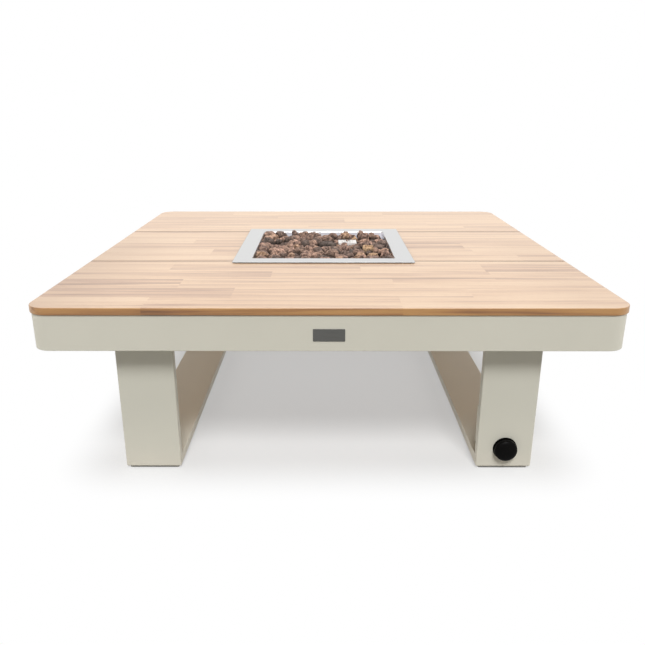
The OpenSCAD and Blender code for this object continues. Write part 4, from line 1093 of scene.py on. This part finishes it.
def settle(rng, middle, half, mouth):
    """Varies a lump of the bed and gives its top; the outer rocks lie against the tray's walls."""
    half.x *= rng.uniform(*ROCK_SPREAD)
    half.y *= rng.uniform(*ROCK_SPREAD)
    top = rng.uniform(*ROCK_TOPS)
    if middle.x - mouth[0] < NEAR_WALL:
        half.x *= WALL_ROCK_WIDER
        middle.x = mouth[0] + half.x - WALL_OVERLAP
        top = rng.uniform(*WALL_ROCK_TOPS)
    if mouth[1] - middle.x < NEAR_WALL and middle.y < RIGHT_WALL_END_Y:
        middle.x = mouth[1] - half.x + WALL_OVERLAP
    if middle.y > END_ROW_Y and middle.x < REAR_ROW_END_X:
        middle.y += END_ROW_SHIFT
        top = rng.uniform(*REAR_ROCK_TOPS)
    if middle.y < -END_ROW_Y:
        middle.y -= END_ROW_SHIFT
    return top


def fill_hollows(bm, rng, guard_low, guard_high):
    """Adds small rocks wherever the bed has a hollow between the large ones."""
    low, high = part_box("lava_rocks")
    tree = BVHTree.FromBMesh(bm)
    added = []
    x_count = int((high.x - low.x) / CRUMB_PITCH)
    y_count = int((high.y - low.y) / CRUMB_PITCH)
    places = [(low.x + (k + 0.5) * CRUMB_PITCH, low.y + (n + 0.5) * CRUMB_PITCH)
              for k in range(x_count) for n in range(y_count)]
    rng.shuffle(places)
    for x, y in places:
        size = rng.uniform(*CRUMB_SIZES) * MM
        x = min(max(x, low.x + size), high.x - size)
        y = min(max(y, low.y + size), high.y - size)
        hit = tree.ray_cast(Vector((x, y, high.z + RAY_ABOVE)), Vector((0, 0, -1)))[0]
        bottom = hit.z - CRUMB_SUNK * size if hit else low.z
        top = bottom + rng.uniform(*CRUMB_RISE) * size
        over_x = guard_low.x - size < x < guard_high.x + size
        over = over_x and guard_low.y - size < y < guard_high.y + size
        crowded = any(math.hypot(x - ax, y - ay) < CRUMB_APART * (size + other) for ax, ay, other in added)
        if over or crowded or (hit and hit.z > HOLLOW_TOP):
            continue
        middle = Vector((x, y, (bottom + top) / 2))
        top = min(top, rock_limit(middle, guard_low, guard_high))
        middle.z = (bottom + top) / 2
        half = [size * rng.uniform(*CRUMB_SPREAD), size * rng.uniform(*CRUMB_SPREAD), (top - bottom) / 2]
        add_rock(bm, rng, middle, half, rock_look(rng), CRUMB_DETAIL)
        added.append((x, y, size))


def spot_places(bed):
    """Which lump of the bed each rock that stands out takes: the nearest that is still free."""
    spots = {}
    for spot in SPOT_ROCKS:
        free = [k for k in range(len(bed)) if k not in spots]
        nearest = min(free, key=lambda k: math.hypot(bed[k][0].x - spot[0], bed[k][0].y - spot[1]))
        spots[nearest] = spot
    return spots


def keep_in_tray(bm, tray_low, tray_high):
    """Holds what lies below the rim inside the tray's walls."""
    wall = TRAY_RIM + ROCK_CLEAR
    for vert in bm.verts:
        if vert.co.z < tray_high.z:
            vert.co.x = min(max(vert.co.x, tray_low.x + wall), tray_high.x - wall)
            vert.co.y = min(max(vert.co.y, tray_low.y + wall), tray_high.y - wall)


def make_rocks(finish):
    """The bed: a rock for each lump of the CAD, then small ones at the guard and in the hollows."""
    rng = random.Random(7)
    bm = bmesh.new()
    bm.verts.layers.float_vector.new("rock")
    bm.verts.layers.float.new("ridge")
    bm.verts.layers.float.new("soot")
    tray_low, tray_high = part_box("burner_tray")
    mouth = tray_low.x + TRAY_RIM, tray_high.x - TRAY_RIM
    guard_low, guard_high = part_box("igniter_guard")
    bed = lumps("lava_rocks")
    spots = spot_places(bed)
    for number, (middle, half) in enumerate(bed):
        bottom = middle.z - half.z
        if number in spots:
            middle.x, middle.y, half.x, half.y, top, tone, warmth = spots[number]
            look = tone, warmth, rng.random()
        else:
            top = settle(rng, middle, half, mouth)
            top = min(top, rock_limit(middle, guard_low, guard_high))
            look = sooted(rock_look(rng), middle, (tray_low + tray_high) / 2)
        half.z = (top - bottom) / 2
        middle.z = bottom + half.z
        add_rock(bm, rng, middle, half, look, ROCK_DETAIL)
    for x, top in GUARD_CRUMBS:
        size = rng.uniform(*GUARD_CRUMB_SIZES) * MM
        middle = Vector((x, guard_low.y - GUARD_CRUMB_OFF * size, top - size))
        half = [size * rng.uniform(*GUARD_CRUMB_SPREAD), size, size]
        add_rock(bm, rng, middle, half, rock_look(rng), CRUMB_DETAIL)
    for x, y, size in GUARD_BITS:
        middle = Vector((x, y, guard_high.z + GUARD_BIT_LIFT * size))
        half = [share * size for share in GUARD_BIT_HALF]
        add_rock(bm, rng, middle, half, rock_look(rng), CRUMB_DETAIL)
    fill_hollows(bm, rng, guard_low, guard_high)
    keep_in_tray(bm, tray_low, tray_high)
    made = piece("rock_bed", bm, finish, ["lava_rocks"])
    made.data.set_sharp_from_angle(angle=ROCK_SHARP_ANGLE)


# Stage


def studio_floor():
    """Pale floor that keeps the table's shadow and runs out into the white background."""
    f = Finish("studio_floor")
    past = f.vector("SUBTRACT", f.vector("ABSOLUTE", f.place), SHADE_HALF)
    past = f.vector("LENGTH", f.vector("MAXIMUM", past, (0, 0, 0)), out="Value")
    white = FLOOR_GLOW + (1 - FLOOR_GLOW) * f.step(past, 0, SHADE_FADE)
    seen = f.seen()
    colour = f.mix(seen, FLOOR_BOUNCE, (FLOOR_COLOUR,) * 3)
    matt = f.node("ShaderNodeBsdfDiffuse", inputs={"Color": colour})
    glow = f.node("ShaderNodeEmission", inputs={"Color": (1, 1, 1), "Strength": 1})
    mixed = f.node("ShaderNodeMixShader", inputs=[seen * white, matt, glow])
    f.feed(f.tree.nodes["Material Output"].inputs["Surface"], mixed)
    return f.material


def make_key():
    """A distant softbox in front and above, a little to the right."""
    data = bpy.data.lights.new("key", "SUN")
    data.angle = KEY_ANGLE
    data.energy = KEY_STRENGTH
    lamp = bpy.data.objects.new("key", data)
    lamp.rotation_euler = (math.pi / 2 - KEY_HEIGHT, 0, KEY_TURN)
    bpy.context.scene.collection.objects.link(lamp)


def make_stage():
    bm = bmesh.new()
    bmesh.ops.create_grid(bm, x_segments=FLOOR_CELLS, y_segments=FLOOR_CELLS, size=FLOOR_SIDE / 2)
    mesh = bpy.data.meshes.new("floor")
    bm.to_mesh(mesh)
    bm.free()
    mesh.materials.append(studio_floor())
    floor = bpy.data.objects.new("floor", mesh)
    bpy.context.scene.collection.objects.link(floor)


def make_world():
    """White for what is seen or mirrored, and a softer light for everything else."""
    world = bpy.data.worlds.new("studio")
    bpy.context.scene.world = world
    world.use_nodes = True
    sky = Nodes(world.node_tree)
    x, y, z = sky.split(sky.node("ShaderNodeTexCoord", out="Generated"))
    low = 1 - sky.step(z, 0.15, 0.95)
    aside = sky.step(abs(x), 0.55, 0.88)
    light = SKY_LIGHT + (REAR_LIGHT - SKY_LIGHT) * low * sky.step(y, -0.1, 0.6)
    light = light + (SIDE_LIGHT - SKY_LIGHT) * low * aside * sky.step(y, -0.5, 0)
    seen = sky.seen()
    back = sky.tree.nodes["Background"]
    sky.feed(back.inputs["Color"], sky.mix(seen, SKY_TINT, (1, 1, 1)))
    sky.feed(back.inputs["Strength"], light + (1 - light) * seen)


def dress(finishes):
    """Gives every CAD node that still shows the finish of its slot."""
    for part in frame["record"]["subparts"]:
        mesh = nodes[part["node"]].data
        mesh.materials.clear()
        mesh.materials.append(finishes[part["material_slot"]])


make_camera()
tray_low, tray_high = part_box("burner_tray")
tray_middle = (tray_low + tray_high) / 2
tray_half = (tray_high.x - tray_low.x) / 2
rim_z = tray_high.z - RIM_SKIN
grate_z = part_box("rock_grate")[1].z
seam_y = (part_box("top_panel_left")[1].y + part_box("top_plank_rear")[0].y) / 2
finishes = {
    "wood": oiled_wood(seam_y),
    "paint": powder_coat("powder_coat"),
    "stainless": brushed_stainless(rim_z, grate_z, tray_middle, tray_half),
    "zinc": zinc_plate(),
    "plate": dark_plate(),
    "brass": machined_brass(),
    "copper": drawn_copper(),
    "alloy": die_cast(),
    "ceramic": kiln_ceramic(),
    "rubber": black_rubber(),
    "glide": scuffed_glide(),
    "knob": knob_plastic(),
    "lava": lava_rock(),
}
dress(finishes)
nodes["igniter_guard"].data.materials[0] = pale_guard_sheet()
make_boards(finishes["wood"])
make_apron(finishes["paint"])
leg_coat = powder_coat("powder_coat_leg", dust_and_painted_light=True)
make_leg("left", leg_coat)
make_leg("right", leg_coat)
make_tray(finishes["stainless"])
make_name_plate(finishes["plate"])
make_knob(finishes["knob"])
make_rocks(finishes["lava"])
make_stage()
make_key()
make_world()
bpy.context.scene.view_settings.view_transform = "Standard"
